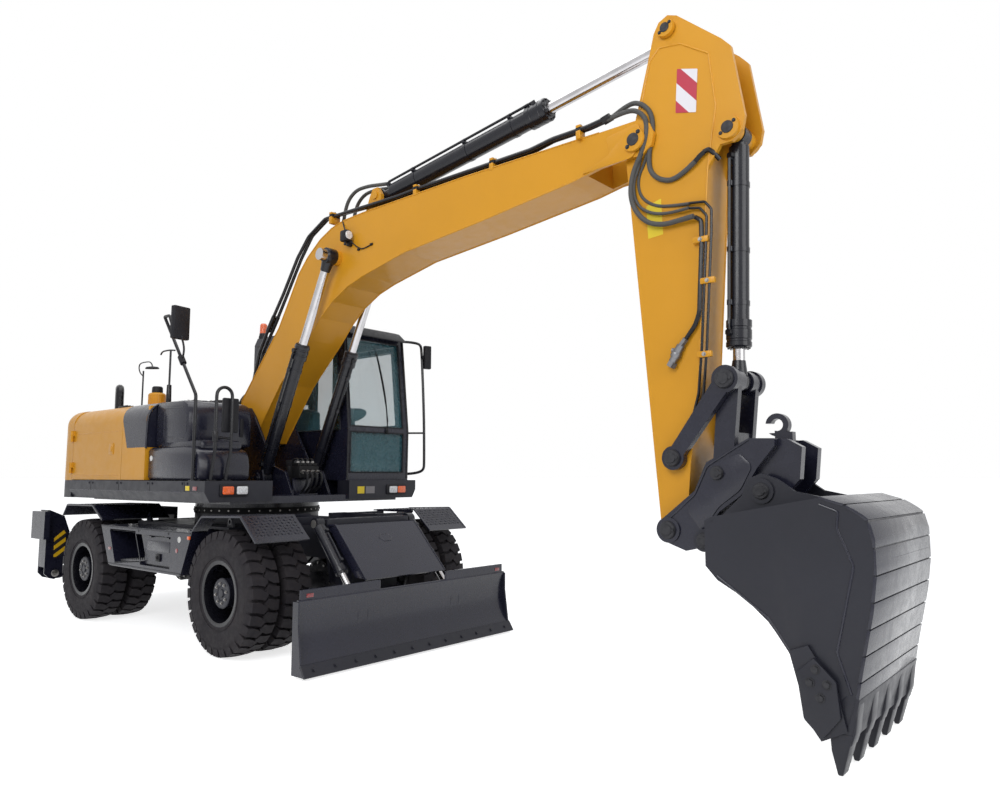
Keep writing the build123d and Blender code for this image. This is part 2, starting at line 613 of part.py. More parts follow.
with BuildPart() as hydraulic_tank:
    slab([(hood_front + gap, fuel_top + fit), (600, fuel_top + fit), (600, 2120), (560, 2205), (480, 2240),
          (hood_front + gap, 2240)], -1160, -480)
save(hydraulic_tank, "hydraulic_tank")

with BuildPart() as hood_stacks:
    post(-1450, -900, hood_top + fit, 2440, 50)
    with Locations((slew_x - 1450, -900, 2440)):
        Sphere(50)
    fore_pin(-1530, -1450, -900, 2440, 50)
    post(-850, -760, hood_top + fit, 2420, 90)
    post(-850, -760, 2420, 2500, 55)
save(hood_stacks, "hood_stacks")

# ---- cab --------------------------------------------------------------------------------------
cab_side_outline = [(cab_rear, cab_floor), (cab_front, cab_floor), (cab_front + 10, 2020), (900, 3060),
                    (820, cab_top - 20), (760, cab_top), (cab_rear + 60, cab_top), (cab_rear, cab_top - 80)]
inner_side_outline = [
    (cab_rear + cab_wall, cab_floor + 60), (cab_front - cab_wall, cab_floor + 60),
    (cab_front + 10 - cab_wall, 2020), (900 - cab_wall, 3040), (780 - cab_wall, cab_top - 60),
    (cab_rear + 90, cab_top - 60), (cab_rear + cab_wall, cab_top - 110),
]
door_outline = [(-240, cab_floor + 40), (700, cab_floor + 40), (905, 2020), (800, 3010), (-240, 3010)]
door_glass_outline = [(-180, 2090), (845, 2090), (750, 2950), (-180, 2950)]
right_glass = [(-680, 2010), (900, 2010), (806, 3000), (-680, 3000)]
with BuildPart() as cab_shell:
    slab(cab_side_outline, cab_right, cab_left)
    slab(inner_side_outline, cab_right + cab_wall, cab_left - cab_wall, Mode.SUBTRACT)
    slab(door_outline, cab_left - cab_wall - 1, cab_left + 1, Mode.SUBTRACT)
    slab(right_glass, cab_right - 1, cab_right + cab_wall + 1, Mode.SUBTRACT)
    slab([(-690, 2090), (-320, 2090), (-320, 3000), (-690, 3000)], cab_left - cab_wall - 1, cab_left + 1,
         Mode.SUBTRACT)
    block(850, 1100, cab_right + 45, cab_left - 80, 1560, 1990, Mode.SUBTRACT)
    block(820, 1100, cab_right + 45, cab_left - 80, 2050, 3010, Mode.SUBTRACT)
    block(cab_rear - 20, cab_rear + 70, cab_right + 60, cab_left - 60, 2150, 3000, Mode.SUBTRACT)
    block(-250, 550, cab_right + 150, cab_left - 150, cab_top - 80, cab_top + 10, Mode.SUBTRACT)
    block(-300, 620, cab_right + 120, cab_left - 120, cab_top - 8, cab_top + 22)
    for z in (1760, 2700):
        hinge_pin(cab_door_hinge_x, cab_left + hinge_stand, z, -30, -hinge_stand - 4)
save(cab_shell, "cab_shell")
with BuildPart() as cab_windows:
    slab([(x * 1.0, z) for x, z in right_glass], cab_right + 18, cab_right + 24)
    slab([(-690, 2090), (-320, 2090), (-320, 3000), (-690, 3000)], cab_left - 24, cab_left - 18)
    slab([(cab_front - 22, 1561), (cab_front - 16, 1561), (cab_front - 10, 1989), (cab_front - 16, 1989)],
         cab_right + 46, cab_left - 81)
    slab([(cab_front - 22, 2051), (cab_front - 16, 2051), (880, 3009), (874, 3009)],
         cab_right + 46, cab_left - 81)
    block(cab_rear + 18, cab_rear + 24, cab_right + 61, cab_left - 61, 2151, 2999)
save(cab_windows, "cab_windows")

with BuildPart() as cab_door:
    slab([(-234, cab_floor + 46), (696, cab_floor + 46), (899, 2022), (794, 3004), (-234, 3004)],
         cab_left - cab_wall + 4, cab_left)
    slab(door_glass_outline, cab_left - cab_wall, cab_left + 1, Mode.SUBTRACT)
    slab([(-180, 1620), (650, 1620), (800, 2010),
          (-180, 2010)], cab_left - cab_wall, cab_left - 12, Mode.SUBTRACT)
    for z in (1760, 2700):
        hinge_eye(cab_door_hinge_x, cab_left + hinge_stand, z, 30, -hinge_stand - 4)
save(cab_door, "cab_door")
with BuildPart() as door_glass:
    slab(door_glass_outline, cab_left - 26, cab_left - 20)
save(door_glass, "door_glass")

with BuildPart() as operator_seat:
    block(-300, 200, 560, 1040, 1780, 1900)
    slab([(-330, 1880), (-200, 1880), (-290, 2560), (-410, 2560)], 580, 1020)
save(operator_seat, "operator_seat")
with BuildPart() as seat_base:
    block(-280, 180, 600, 1000, cab_floor + 60 + fit, 1780 - fit)
    for y in (470, 1060):
        block(-300, 250, y, y + 90, 1900, 1990)
        block(-100, 50, y, y + 90, cab_floor + 60 + fit, 1900)
    slab([(560, cab_floor + 60 + fit), (700, cab_floor + 60 + fit), (560, 2198), (500, 2198)], 760, 840)
    with Locations(Location((slew_x + 520, 800, 2195), (0, -20, 0))):
        Torus(185, 16)
        Cylinder(172, 10)
save(seat_base, "cab_controls")
with BuildPart() as beacon:
    post(-660, 420, cab_top + fit, cab_top + 60, 55)
    post(-660, 420, cab_top + 60, cab_top + 190, 45)
save(beacon, "beacon")

# ---- rails and mirrors --------------------------------------------------------------------------
with BuildPart() as mirrors:
    post(pole_x, -1248, skirt_top + fit, 2262, 17)
    with BuildSketch(Plane(origin=(slew_x + pole_x, -1248, 2250), z_dir=(-0.61, -0.02, 0.80))) as tube:
        Circle(15)
    extrude(tube.sketch, amount=1000)
    with BuildSketch(Plane(origin=(slew_x + pole_x - 262, -1256, 2600), z_dir=(0.1, -0.13, 0.98))) as arm:
        Circle(11)
    extrude(arm.sketch, amount=260)
    block(pole_x - 265, pole_x - 205, -1400, -1220, 2780, 3090)
    for y in (-1111, -953):
        post(1000, y, skirt_top + fit, 2336, 16)
    pin((1000, 2315), -1111, -953, 14)
    block(cab_front + 12, 1150, 1265, 1295, 3000, 3030)
    post(1140, 1380, 1560, 3040, 15)
    block(1125, 1155, 1265, 1395, 3000, 3030)
    block(940, 1155, cab_left + fit, 1285, 1990, 2020)
    block(1125, 1155, 1255, 1395, 1990, 2020)
    block(940, 1155, cab_left + fit, 1285, 1560, 1590)
    block(1125, 1155, 1255, 1395, 1560, 1590)
    block(1100, 1160, 1380, 1480, 2740, 3020)
save(mirrors, "mirrors_and_rails")

# ---- boom -------------------------------------------------------------------------------------
boom_outline = [
    (-126, 2180), (-110, 2040), (-30, 1880), (60, 1850), (180, 1870), (646, 2454), (1099, 2867), (1294, 3065),
    (1472, 3205), (1700, 3320), (1919, 3385), (2490, 3506), (3369, 3590), (4300, 3696), (4560, 3745),
    (4765, 3759), (4900, 3740), (4985, 3800), (5005, 3880), (4975, 3960), (4890, 4010), (4560, 4010),
    (4340, 4007), (3232, 4019), (1901, 4000), (1620, 3985), (1444, 3947), (1262, 3866), (1062, 3721),
    (918, 3570), (746, 3288), (598, 3054), (-60, 2330),
]
with BuildPart() as boom:
    slab(boom_outline, -boom_half, boom_half)
    block(4440, 5100, -fork_half, fork_half, 3600, 4100, Mode.SUBTRACT)
    pin(boom_tip, -boom_half - 22, boom_half + 22, 55)
    pin(boom_foot, -boom_half - 5, boom_half + 5, 50 + fit, Mode.SUBTRACT)
    for side in (-1, 1):
        pin(boom_rod_pin, side * (boom_half - 5), side * (boom_cylinder_y - 50 - fit), 75)
        slab([(1800, 3990), (2060, 3995), (2040, 4190), (1995, 4262), (1925, 4262), (1880, 4190)],
             side * 58, side * 98)
    pin(stick_cylinder_base, -110, 110, 38)
save(boom, "boom")

boom_length = distance(boom_base_pin, boom_rod_pin)
with BuildPart() as boom_cylinders:
    for side in (-1, 1):
        y = side * boom_cylinder_y
        ram(boom_base_pin, boom_rod_pin, y, 60, 60, 1400)
        ram(boom_base_pin, boom_rod_pin, y, 70, 1300, 1430)
        pin(boom_base_pin, y - 47, y + 47, 78)
        ram(boom_base_pin, boom_rod_pin, y, 42 + fit, 120, 1500, Mode.SUBTRACT)
        pin(boom_base_pin, y - 60, y + 60, 40 + fit, Mode.SUBTRACT)
save(boom_cylinders, "boom_cylinders")
with BuildPart() as boom_rods:
    for side in (-1, 1):
        y = side * boom_cylinder_y
        ram(boom_base_pin, boom_rod_pin, y, 42, boom_length - 1470, boom_length)
        pin(boom_rod_pin, y - 50, y + 50, 76)
        pin(boom_rod_pin, y, y + side * 120, 58)
save(boom_rods, "boom_rods")

arm_length = distance(stick_cylinder_base, stick_cylinder_rod)
with BuildPart() as arm_cylinder:
    ram(stick_cylinder_base, stick_cylinder_rod, 0, 50, 60, 200)
    ram(stick_cylinder_base, stick_cylinder_rod, 0, 82, 170, 1960)
    ram(stick_cylinder_base, stick_cylinder_rod, 0, 92, 1840, 2010)
    pin(stick_cylinder_base, -52, 52, 78)
    ram(stick_cylinder_base, stick_cylinder_rod, 0, 45 + fit, 120, 2100, Mode.SUBTRACT)
    pin(stick_cylinder_base, -60, 60, 38 + fit, Mode.SUBTRACT)
save(arm_cylinder, "arm_cylinder")
with BuildPart() as arm_rod:
    ram(stick_cylinder_base, stick_cylinder_rod, 0, 45, arm_length - 1700, arm_length)
    pin(stick_cylinder_rod, -55, 55, 80)
    pin(stick_cylinder_rod, -90, 90, 40)
save(arm_rod, "arm_rod")

# ---- stick ------------------------------------------------------------------------------------
stick_outline = [
    (4761, 3739), (4884, 4185), (4960, 4465), (5000, 4620), (5040, 4690), (5110, 4720), (5180, 4690),
    (5500, 4400), (5560, 4330), (5640, 3830), (5620, 3740), (5550, 3680), (5470, 3680), (5374, 3541),
    (5262, 2022), (5200, 1600), (5160, 1160), (5120, 1090), (5050, 1080), (4985, 1130), (4908, 2031),
]
stick_box = [
    (4850, 3700), (4900, 4000), (4975, 4465), (5200, 4480), (5400, 4320), (5440, 3950), (5374, 3541),
    (5262, 2022), (5200, 1600), (5160, 1160), (5120, 1090), (5050, 1080), (4985, 1130), (4908, 2031),
    (4780, 3650),
]
with BuildPart() as stick:
    for side in (-1, 1):
        slab(stick_outline, side * (stick_half - stick_plate), side * stick_half)
    slab(stick_box, -stick_half + stick_plate, stick_half - stick_plate)
    pin(boom_tip, -stick_half, stick_half, 120)
    pin(boom_tip, -stick_half - 5, stick_half + 5, 55 + fit, Mode.SUBTRACT)
    pin(stick_tip, -stick_half - 5, stick_half + 5, 42 + fit, Mode.SUBTRACT)
    pin(stick_link_pin, -stick_half - 5, stick_half + 5, 38 + fit, Mode.SUBTRACT)
    pin(bucket_cylinder_base, -stick_half, stick_half, 36)
    for side in (-1, 1):
        pin(stick_cylinder_rod, side * (stick_half - 1), side * (stick_half + 14), 52)
        pin(bucket_cylinder_base, side * 57, side * (stick_half - stick_plate + 1), 62)
        pin(stick_cylinder_rod, side * (90 + fit), side * (stick_half - stick_plate + 1), 60)
save(stick, "stick")

bucket_cylinder_length = distance(bucket_cylinder_base, link_top)
with BuildPart() as bucket_cylinder:
    ram(bucket_cylinder_base, link_top, 0, 50, 50, 90)
    ram(bucket_cylinder_base, link_top, 0, 66, 80, 1380)
    ram(bucket_cylinder_base, link_top, 0, 78, 1260, 1420)
    pin(bucket_cylinder_base, -52, 52, 68)
    ram(bucket_cylinder_base, link_top, 0, 38 + fit, 110, 1500, Mode.SUBTRACT)
    pin(bucket_cylinder_base, -60, 60, 36 + fit, Mode.SUBTRACT)
save(bucket_cylinder, "bucket_cylinder")
with BuildPart() as bucket_rod:
    ram(bucket_cylinder_base, link_top, 0, 38, bucket_cylinder_length - 1440, bucket_cylinder_length)
    pin(link_top, -42, 42, 62)
    pin(link_top, -48 + fit, 48 - fit, 34)
save(bucket_rod, "bucket_rod")

with BuildPart() as side_links:
    for side in (-1, 1):
        length = distance(stick_link_pin, link_top)
        way = ((link_top[0] - stick_link_pin[0]) / length, (link_top[1] - stick_link_pin[1]) / length)
        nx, nz = -way[1], way[0]
        bar = [(stick_link_pin[0] + nx * 50, stick_link_pin[1] + nz * 50),
               (stick_link_pin[0] - nx * 50, stick_link_pin[1] - nz * 50),
               (link_top[0] - nx * 60, link_top[1] - nz * 60),
               (link_top[0] + nx * 60, link_top[1] + nz * 60)]
        slab(bar, side * (stick_half + gap), side * 225)
        pin(stick_link_pin, side * (stick_half + gap), side * 225, 78)
        pin(link_top, side * (stick_half + gap), side * 225, 88)
        pin(link_top, side * 48, side * 232, 38)
    pin(stick_link_pin, -232, 232, 38)
save(side_links, "side_links")

with BuildPart() as bucket_link:
    for side in (-1, 1):
        pin(link_top, side * 54, side * 165, 78)
        pin(coupler_link_pin, side * 20, side * 165, 72)
        span = distance(link_top, coupler_link_pin)
        way = ((coupler_link_pin[0] - link_top[0]) / span, (coupler_link_pin[1] - link_top[1]) / span)
        nx, nz = -way[1], way[0]
        arm = [(link_top[0] + nx * 70, link_top[1] + nz * 70), (link_top[0] - nx * 70, link_top[1] - nz * 70),
               (coupler_link_pin[0] - nx * 66, coupler_link_pin[1] - nz * 66),
               (coupler_link_pin[0] + nx * 66, coupler_link_pin[1] + nz * 66)]
        slab(arm, side * 110, side * 165)
    pin(coupler_link_pin, -160, 160, 60)
    mid = ((link_top[0] + 2 * coupler_link_pin[0]) / 3, (link_top[1] + 2 * coupler_link_pin[1]) / 3)
    block(mid[0] - 60, mid[0] + 60, -115, 115, mid[1] - 120, mid[1] + 60)
    for side in (-1, 1):
        pin(link_top, side * 40, side * 170, 38 + fit, Mode.SUBTRACT)
save(bucket_link, "bucket_link")

# ---- coupler and bucket -------------------------------------------------------------------------
coupler_outline = [
    (4990, 1165), (5010, 1110), (5070, 1085), (5186, 1045), (5250, 1060), (5330, 1190), (5420, 1300),
    (5560, 1400), (5667, 1567), (5778, 1700), (5778, 1743), (5621, 1748), (5338, 1604), (5255, 1426),
    (5020, 1240),
]
body_outline = [
    (5240, 1100), (5300, 1060), (5400, 1090), (5470, 1200), (5475, 1245), (5520, 1312), (5600, 1328),
    (5780, 1368), (5900, 1500), (5920, 1690), (5830, 1741), (5700, 1735), (5560, 1560), (5480, 1420),
    (5330, 1290),
]
with BuildPart() as quick_coupler:
    for side in (-1, 1):
        slab(coupler_outline, side * (stick_half + gap + 2), side * 232)
        slab(body_outline, side * 110, side * (stick_half + gap + 3))
        pin(coupler_link_pin, side * (stick_half + gap), side * 244, 46)
        pin(stick_tip, side * (stick_half + fit), side * 244, 82)
    pin(stick_tip, -200, 200, 42)
    block(5620, 5760, -180, 180, 1375, 1500)
    slab([(5650, 1740), (5700, 1640), (5800, 1640), (5800, 1741)], -170, 170)
    with BuildSketch(side_plane(28)) as hook:
        with Locations((5720, 1835)):
            Circle(72)
            Circle(38, mode=Mode.SUBTRACT)
            with Locations((-50, -20)):
                Rectangle(70, 60, mode=Mode.SUBTRACT)
        with Locations((5760, 1760)):
            Rectangle(110, 60)
    extrude(hook.sketch, amount=56)
    for bucket_pin in (bucket_rear_pin, bucket_front_pin):
        pin(bucket_pin, -240, 240, 38 + fit, Mode.SUBTRACT)
save(quick_coupler, "quick_coupler")

shell_outline = [
    (5490, 1005), (5490, 1262), (5530, 1285), (6142, 1405), (6284, 1362), (6377, 1301), (6402, 1200),
    (6410, 1085),
    (6378, 838), (6310, 517), (6280, 354), (6215, 190), (6185, 200), (6154, 303), (6011, 491), (5918, 639),
    (5845, 734), (5720, 842), (5560, 930),
]
cavity_outline = [
    (5490 + 26, 900), (5490 + 26, 1240), (6140, 1378), (6270, 1338), (6352, 1284), (6376, 1195), (6384, 1085),
    (6352, 842), (6285, 520), (6255, 362), (6195, 215), (6100, 100), (5500, 700),
]
with BuildPart() as bucket:
    slab(shell_outline, -bucket_half, bucket_half)
    slab(cavity_outline, -bucket_half + bucket_side, bucket_half - bucket_side, Mode.SUBTRACT)
    ear_outline = [(5290, 1060), (5370, 1060), (5500, 1190), (5520, 1270), (6100, 1390), (5900, 1430),
                   (5800, 1500), (5706, 1535), (5620, 1500), (5580, 1400), (5400, 1230), (5270, 1150)]
    for side in (-1, 1):
        slab(ear_outline, side * 240, side * 270)
        pin(bucket_rear_pin, side * 240, side * 284, 75)
        pin(bucket_front_pin, side * 240, side * 276, 70)
        slab([(6130, 180), (6240, 240), (6200, 420), (6060, 640), (5960, 600), (6050, 250), (6110, 170)],
             side * bucket_half, side * (bucket_half + 22))
    pin(bucket_rear_pin, -270, 270, 38)
    pin(bucket_front_pin, -270, 270, 38)

tooth_pitch = 273.0
tooth_outline = [(6160, 300), (6240, 400), (6285, 400), (6262, 240), (6225, 130), (6196, 14), (6178, 14),
                 (6160, 130)]
with bucket:
    for index in range(5):
        y = (index - 2) * tooth_pitch
        slab(tooth_outline, y - 40, y + 40)
save(bucket, "bucket")

print("boom cylinder", round(boom_length), "arm cylinder", round(arm_length),
      "bucket cylinder", round(bucket_cylinder_length), "blade cylinder", round(blade_closed))
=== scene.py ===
"""Dresses the wheeled excavator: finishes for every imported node, and the trim that rides on its bodies.

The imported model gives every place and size. Stations along X are measured from the slew axis, in metres,
Y is positive on the cab side and Z is the height above the ground.
"""
import json
import logging
import math
from dataclasses import dataclass
from enum import Enum
from typing import ClassVar, Sequence

import bmesh
import bpy
from mathutils import Matrix, Vector

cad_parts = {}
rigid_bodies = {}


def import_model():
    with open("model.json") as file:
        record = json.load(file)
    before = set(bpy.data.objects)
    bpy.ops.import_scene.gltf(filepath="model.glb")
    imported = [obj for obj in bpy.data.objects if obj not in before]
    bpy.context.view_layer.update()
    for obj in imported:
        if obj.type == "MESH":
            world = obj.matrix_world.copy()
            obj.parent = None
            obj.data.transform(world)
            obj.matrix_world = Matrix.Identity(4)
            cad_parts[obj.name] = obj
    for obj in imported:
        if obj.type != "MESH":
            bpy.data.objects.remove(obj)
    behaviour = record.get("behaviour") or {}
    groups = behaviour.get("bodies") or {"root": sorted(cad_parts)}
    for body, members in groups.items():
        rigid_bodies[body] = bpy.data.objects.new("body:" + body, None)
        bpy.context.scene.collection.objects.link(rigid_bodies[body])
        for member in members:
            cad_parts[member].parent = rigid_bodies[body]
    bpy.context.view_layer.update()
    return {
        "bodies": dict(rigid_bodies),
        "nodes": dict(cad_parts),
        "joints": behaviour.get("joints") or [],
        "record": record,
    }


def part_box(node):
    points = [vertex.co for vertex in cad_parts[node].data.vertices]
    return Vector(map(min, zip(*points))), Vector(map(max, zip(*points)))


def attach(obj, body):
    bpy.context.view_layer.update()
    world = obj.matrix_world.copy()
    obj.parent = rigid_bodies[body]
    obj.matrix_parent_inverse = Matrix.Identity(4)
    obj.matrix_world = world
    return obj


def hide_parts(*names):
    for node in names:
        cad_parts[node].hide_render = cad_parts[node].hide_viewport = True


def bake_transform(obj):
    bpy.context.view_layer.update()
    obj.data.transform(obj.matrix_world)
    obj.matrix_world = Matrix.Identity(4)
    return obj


Point = tuple[float, float, float]
Flat = tuple[float, float]
Socket = bpy.types.NodeSocket
SIDES = (("right", -1.0), ("left", 1.0))
HANDS = (-1.0, 1.0)
UP = (0.0, 0.0, 1.0)
RIGHTWARD = (0.0, -1.0, 0.0)
LOG = logging.getLogger("excavator")


# ---- finishes ---------------------------------------------------------------------------------------
class Nodes:
    """A node tree with short calls to add and join nodes."""

    def __init__(self, tree: bpy.types.NodeTree) -> None:
        """Keeps the tree."""
        self.tree = tree

    def node(self, kind: str, **settings: object) -> bpy.types.Node:
        """Adds a node and sets its plain properties."""
        made = self.tree.nodes.new("ShaderNode" + kind)
        for key, value in settings.items():
            setattr(made, key, value)
        return made

    def link(self, out: Socket, into: Socket) -> None:
        """Joins two sockets."""
        self.tree.links.new(out, into)


class Graph(Nodes):
    """A material's node graph around one Principled shader."""

    def __init__(self, name: str) -> None:
        """Starts a material with an output and a shader."""
        self.material = bpy.data.materials.new(name)
        self.material.use_nodes = True
        super().__init__(self.material.node_tree)
        self.shader = self.tree.nodes["Principled BSDF"]
        self.coordinates = self.node("TexCoord").outputs["Object"]

    def set(self, socket: str, value: float | tuple) -> None:
        """Sets one of the shader's own sockets."""
        self.shader.inputs[socket].default_value = value

    def feed(self, socket: str, source: Socket) -> None:
        """Links a source to one of the shader's sockets."""
        self.link(source, self.shader.inputs[socket])

    def wave(self, scale: float, direction: str) -> Socket:
        """Even ribs on Object coordinates, as a value."""
        wave = self.node("TexWave", bands_direction=direction)
        wave.inputs["Scale"].default_value = scale
        self.link(self.coordinates, wave.inputs["Vector"])
        return wave.outputs["Fac"]

    def noise(self, scale: float, detail: float = 4.0, stretch: Point = (1.0, 1.0, 1.0)) -> Socket:
        """A noise value on Object coordinates.

        Args:
            scale: Features per metre.
            detail: Octaves of the noise.
            stretch: Factors on the coordinates, for streaks.

        Returns:
            The noise's value socket.
        """
        place = self.node("Mapping")
        place.inputs["Scale"].default_value = stretch
        self.link(self.coordinates, place.inputs["Vector"])
        noise = self.node("TexNoise")
        noise.inputs["Scale"].default_value = scale
        noise.inputs["Detail"].default_value = detail
        self.link(place.outputs["Vector"], noise.inputs["Vector"])
        return noise.outputs["Fac"]

    def ramp(self, value: Socket, low: float, high: float, out_low: float, out_high: float) -> Socket:
        """Maps a value's range onto another, clamped."""
        mapped = self.node("MapRange")
        for key, number in (("From Min", low), ("From Max", high), ("To Min", out_low), ("To Max", out_high)):
            mapped.inputs[key].default_value = number
        self.link(value, mapped.inputs["Value"])
        return mapped.outputs["Result"]

    def mix(self, share: Socket, first: Point | Socket, second: Point | Socket) -> Socket:
        """Mixes two colours by a share."""
        mixer = self.node("Mix", data_type="RGBA")
        self.link(share, mixer.inputs["Factor"])
        for colour, socket in ((first, mixer.inputs[6]), (second, mixer.inputs[7])):
            if isinstance(colour, tuple):
                socket.default_value = (*colour, 1.0)
            else:
                self.link(colour, socket)
        return mixer.outputs[2]

    def bump(self, height: Socket, distance: float, strength: float = 1.0) -> None:
        """Gives the shader a bump from a height value, on top of any bump it has."""
        bump = self.node("Bump")
        bump.inputs["Distance"].default_value = distance
        bump.inputs["Strength"].default_value = strength
        self.link(height, bump.inputs["Height"])
        normal = self.shader.inputs["Normal"]
        if normal.is_linked:
            self.link(normal.links[0].from_socket, bump.inputs["Normal"])
        self.link(bump.outputs["Normal"], normal)


DRY_DUST = (0.22, 0.2, 0.18)
RUBBED_DUST = (0.16, 0.14, 0.13)


def shaded(colour: Point, share: float) -> Point:
    """A colour with its channels scaled, none above white."""
    return tuple(min(1.0, channel * share) for channel in colour)


@dataclass(frozen=True)
class Paint:
    """Sprayed paint: a fine orange peel, a slow drift of shade and a little dust low down."""

    name: str
    colour: Point
    roughness: float = 0.34
    coat: float = 0.35
    peel: float = 0.0004
    drift: float = 0.12
    dust: float = 0.10
    gloss: float = 0.22
    slot: str = ""

    def build(self) -> bpy.types.Material:
        """Makes the material."""
        graph = Graph(self.name)
        shade = shaded(self.colour, 1.0 - 2.0 * self.drift)
        slow = graph.ramp(graph.noise(1.6, 5.0), 0.35, 0.7, 0.0, 1.0)
        body = graph.mix(slow, self.colour, shade)
        settled = graph.ramp(graph.noise(5.0, 8.0, (1.0, 1.0, 0.35)), 0.55, 0.8, 0.0, self.dust)
        graph.feed("Base Color", graph.mix(settled, body, DRY_DUST))
        graph.feed(
            "Roughness",
            graph.ramp(graph.noise(14.0, 6.0), 0.3, 0.75, self.roughness - 0.06, self.roughness + 0.1))
        graph.set("Coat Weight", self.coat)
        graph.set("Coat Roughness", 0.12)
        graph.set("Specular IOR Level", self.gloss)
        graph.bump(graph.noise(260.0, 2.0), self.peel)
        return graph.material


@dataclass(frozen=True)
class Metal:
    """Bare or plated metal with faint lengthwise polishing marks."""

    name: str
    colour: Point
    roughness: float = 0.18
    scratches: float = 0.0002
    metallic: float = 1.0
    slot: str = ""

    def build(self) -> bpy.types.Material:
        """Makes the material."""
        graph = Graph(self.name)
        darker = shaded(self.colour, 0.72)
        graph.feed(
            "Base Color",
            graph.mix(graph.ramp(graph.noise(9.0, 6.0), 0.4, 0.8, 0.0, 0.6), self.colour, darker))
        graph.feed(
            "Roughness",
            graph.ramp(graph.noise(40.0, 5.0), 0.3, 0.7, self.roughness * 0.8, self.roughness * 1.4))
        graph.set("Metallic", self.metallic)
        graph.bump(graph.noise(220.0, 3.0, (1.0, 1.0, 0.05)), self.scratches)
        return graph.material


@dataclass(frozen=True)
class Rubber:
    """Moulded rubber or soft plastic: dull, faintly grained, with dust in the grain."""

    name: str
    colour: Point
    roughness: float = 0.68
    grain: float = 0.0006
    dust: float = 0.25
    slot: str = ""

    def build(self) -> bpy.types.Material:
        """Makes the material."""
        graph = Graph(self.name)
        share = graph.ramp(graph.noise(7.0, 9.0), 0.42, 0.78, 0.0, self.dust)
        graph.feed("Base Color", graph.mix(share, self.colour, RUBBED_DUST))
        graph.feed(
            "Roughness",
            graph.ramp(graph.noise(30.0, 4.0), 0.3, 0.7, self.roughness - 0.08, self.roughness + 0.1))
        graph.set("Specular IOR Level", 0.2)
        graph.bump(graph.noise(420.0, 3.0), self.grain)
        return graph.material


@dataclass(frozen=True)
class Glass:
    """Tinted safety glass that lets the cab show through."""

    name: str
    colour: Point
    alpha: float = 0.34
    slot: str = "cab_glass"

    def build(self) -> bpy.types.Material:
        """Makes the material."""
        graph = Graph(self.name)
        deeper = shaded(self.colour, 0.7)
        graph.feed(
            "Base Color",
            graph.mix(graph.ramp(graph.noise(0.8, 2.0), 0.35, 0.7, 0.0, 1.0), self.colour, deeper))
        graph.set("Roughness", 0.04)
        graph.set("Alpha", self.alpha)
        graph.set("Specular IOR Level", 0.8)
        graph.bump(graph.noise(1.5, 1.0), 0.002, 0.3)
        return graph.material


@dataclass(frozen=True)
class Stripes:
    """Two colours in slanting bands across an X-Z or Y-Z plate."""

    name: str
    first: Point
    second: Point
    width: float
    slant: Point
    slot: str = "yellow_paint"

    def build(self) -> bpy.types.Material:
        """Makes the material."""
        graph = Graph(self.name)
        along = graph.node("VectorMath", operation="DOT_PRODUCT")
        along.inputs[1].default_value = self.slant
        graph.link(graph.coordinates, along.inputs[0])
        band = graph.node("Math", operation="PINGPONG")
        band.inputs[1].default_value = self.width
        graph.link(along.outputs["Value"], band.inputs[0])
        step = graph.ramp(band.outputs["Value"], self.width * 0.49, self.width * 0.51, 0.0, 1.0)
        graph.feed("Base Color", graph.mix(step, self.first, self.second))
        graph.set("Roughness", 0.4)
        graph.bump(graph.noise(300.0, 2.0), 0.0002)
        return graph.material


@dataclass(frozen=True)
class Lens:
    """A moulded lamp lens: clear colour over fine ribs."""

    name: str
    colour: Point
    glow: float = 0.0
    slot: str = "amber_lens"
    ribs: float = 55.0

    def build(self) -> bpy.types.Material:
        """Makes the material."""
        graph = Graph(self.name)
        deeper = shaded(self.colour, 0.6)
        graph.feed(
            "Base Color",
            graph.mix(graph.ramp(graph.noise(60.0, 2.0), 0.3, 0.7, 0.0, 1.0), self.colour, deeper))
        graph.set("Roughness", 0.15)
        graph.set("Coat Weight", 0.6)
        graph.set("Emission Color", (*self.colour, 1.0))
        graph.set("Emission Strength", self.glow)
        graph.bump(graph.wave(self.ribs, "Z"), 0.001)
        return graph.material


@dataclass(frozen=True)
class Weave:
    """Woven seat cloth: two crossed fine ribs and a soft sheen."""

    name: str
    colour: Point
    slot: str = "seat_fabric"
    ribs: float = 130.0

    def build(self) -> bpy.types.Material:
        """Makes the material."""
        graph = Graph(self.name)
        lighter = shaded(self.colour, 2.2)
        cross = graph.node("Math", operation="MULTIPLY")
        for direction, socket in zip("XY", cross.inputs):
            graph.link(graph.wave(self.ribs, direction), socket)
        graph.feed("Base Color", graph.mix(cross.outputs["Value"], self.colour, lighter))
        graph.set("Roughness", 0.9)
        graph.set("Sheen Weight", 0.3)
        graph.bump(cross.outputs["Value"], 0.0008)
        return graph.material


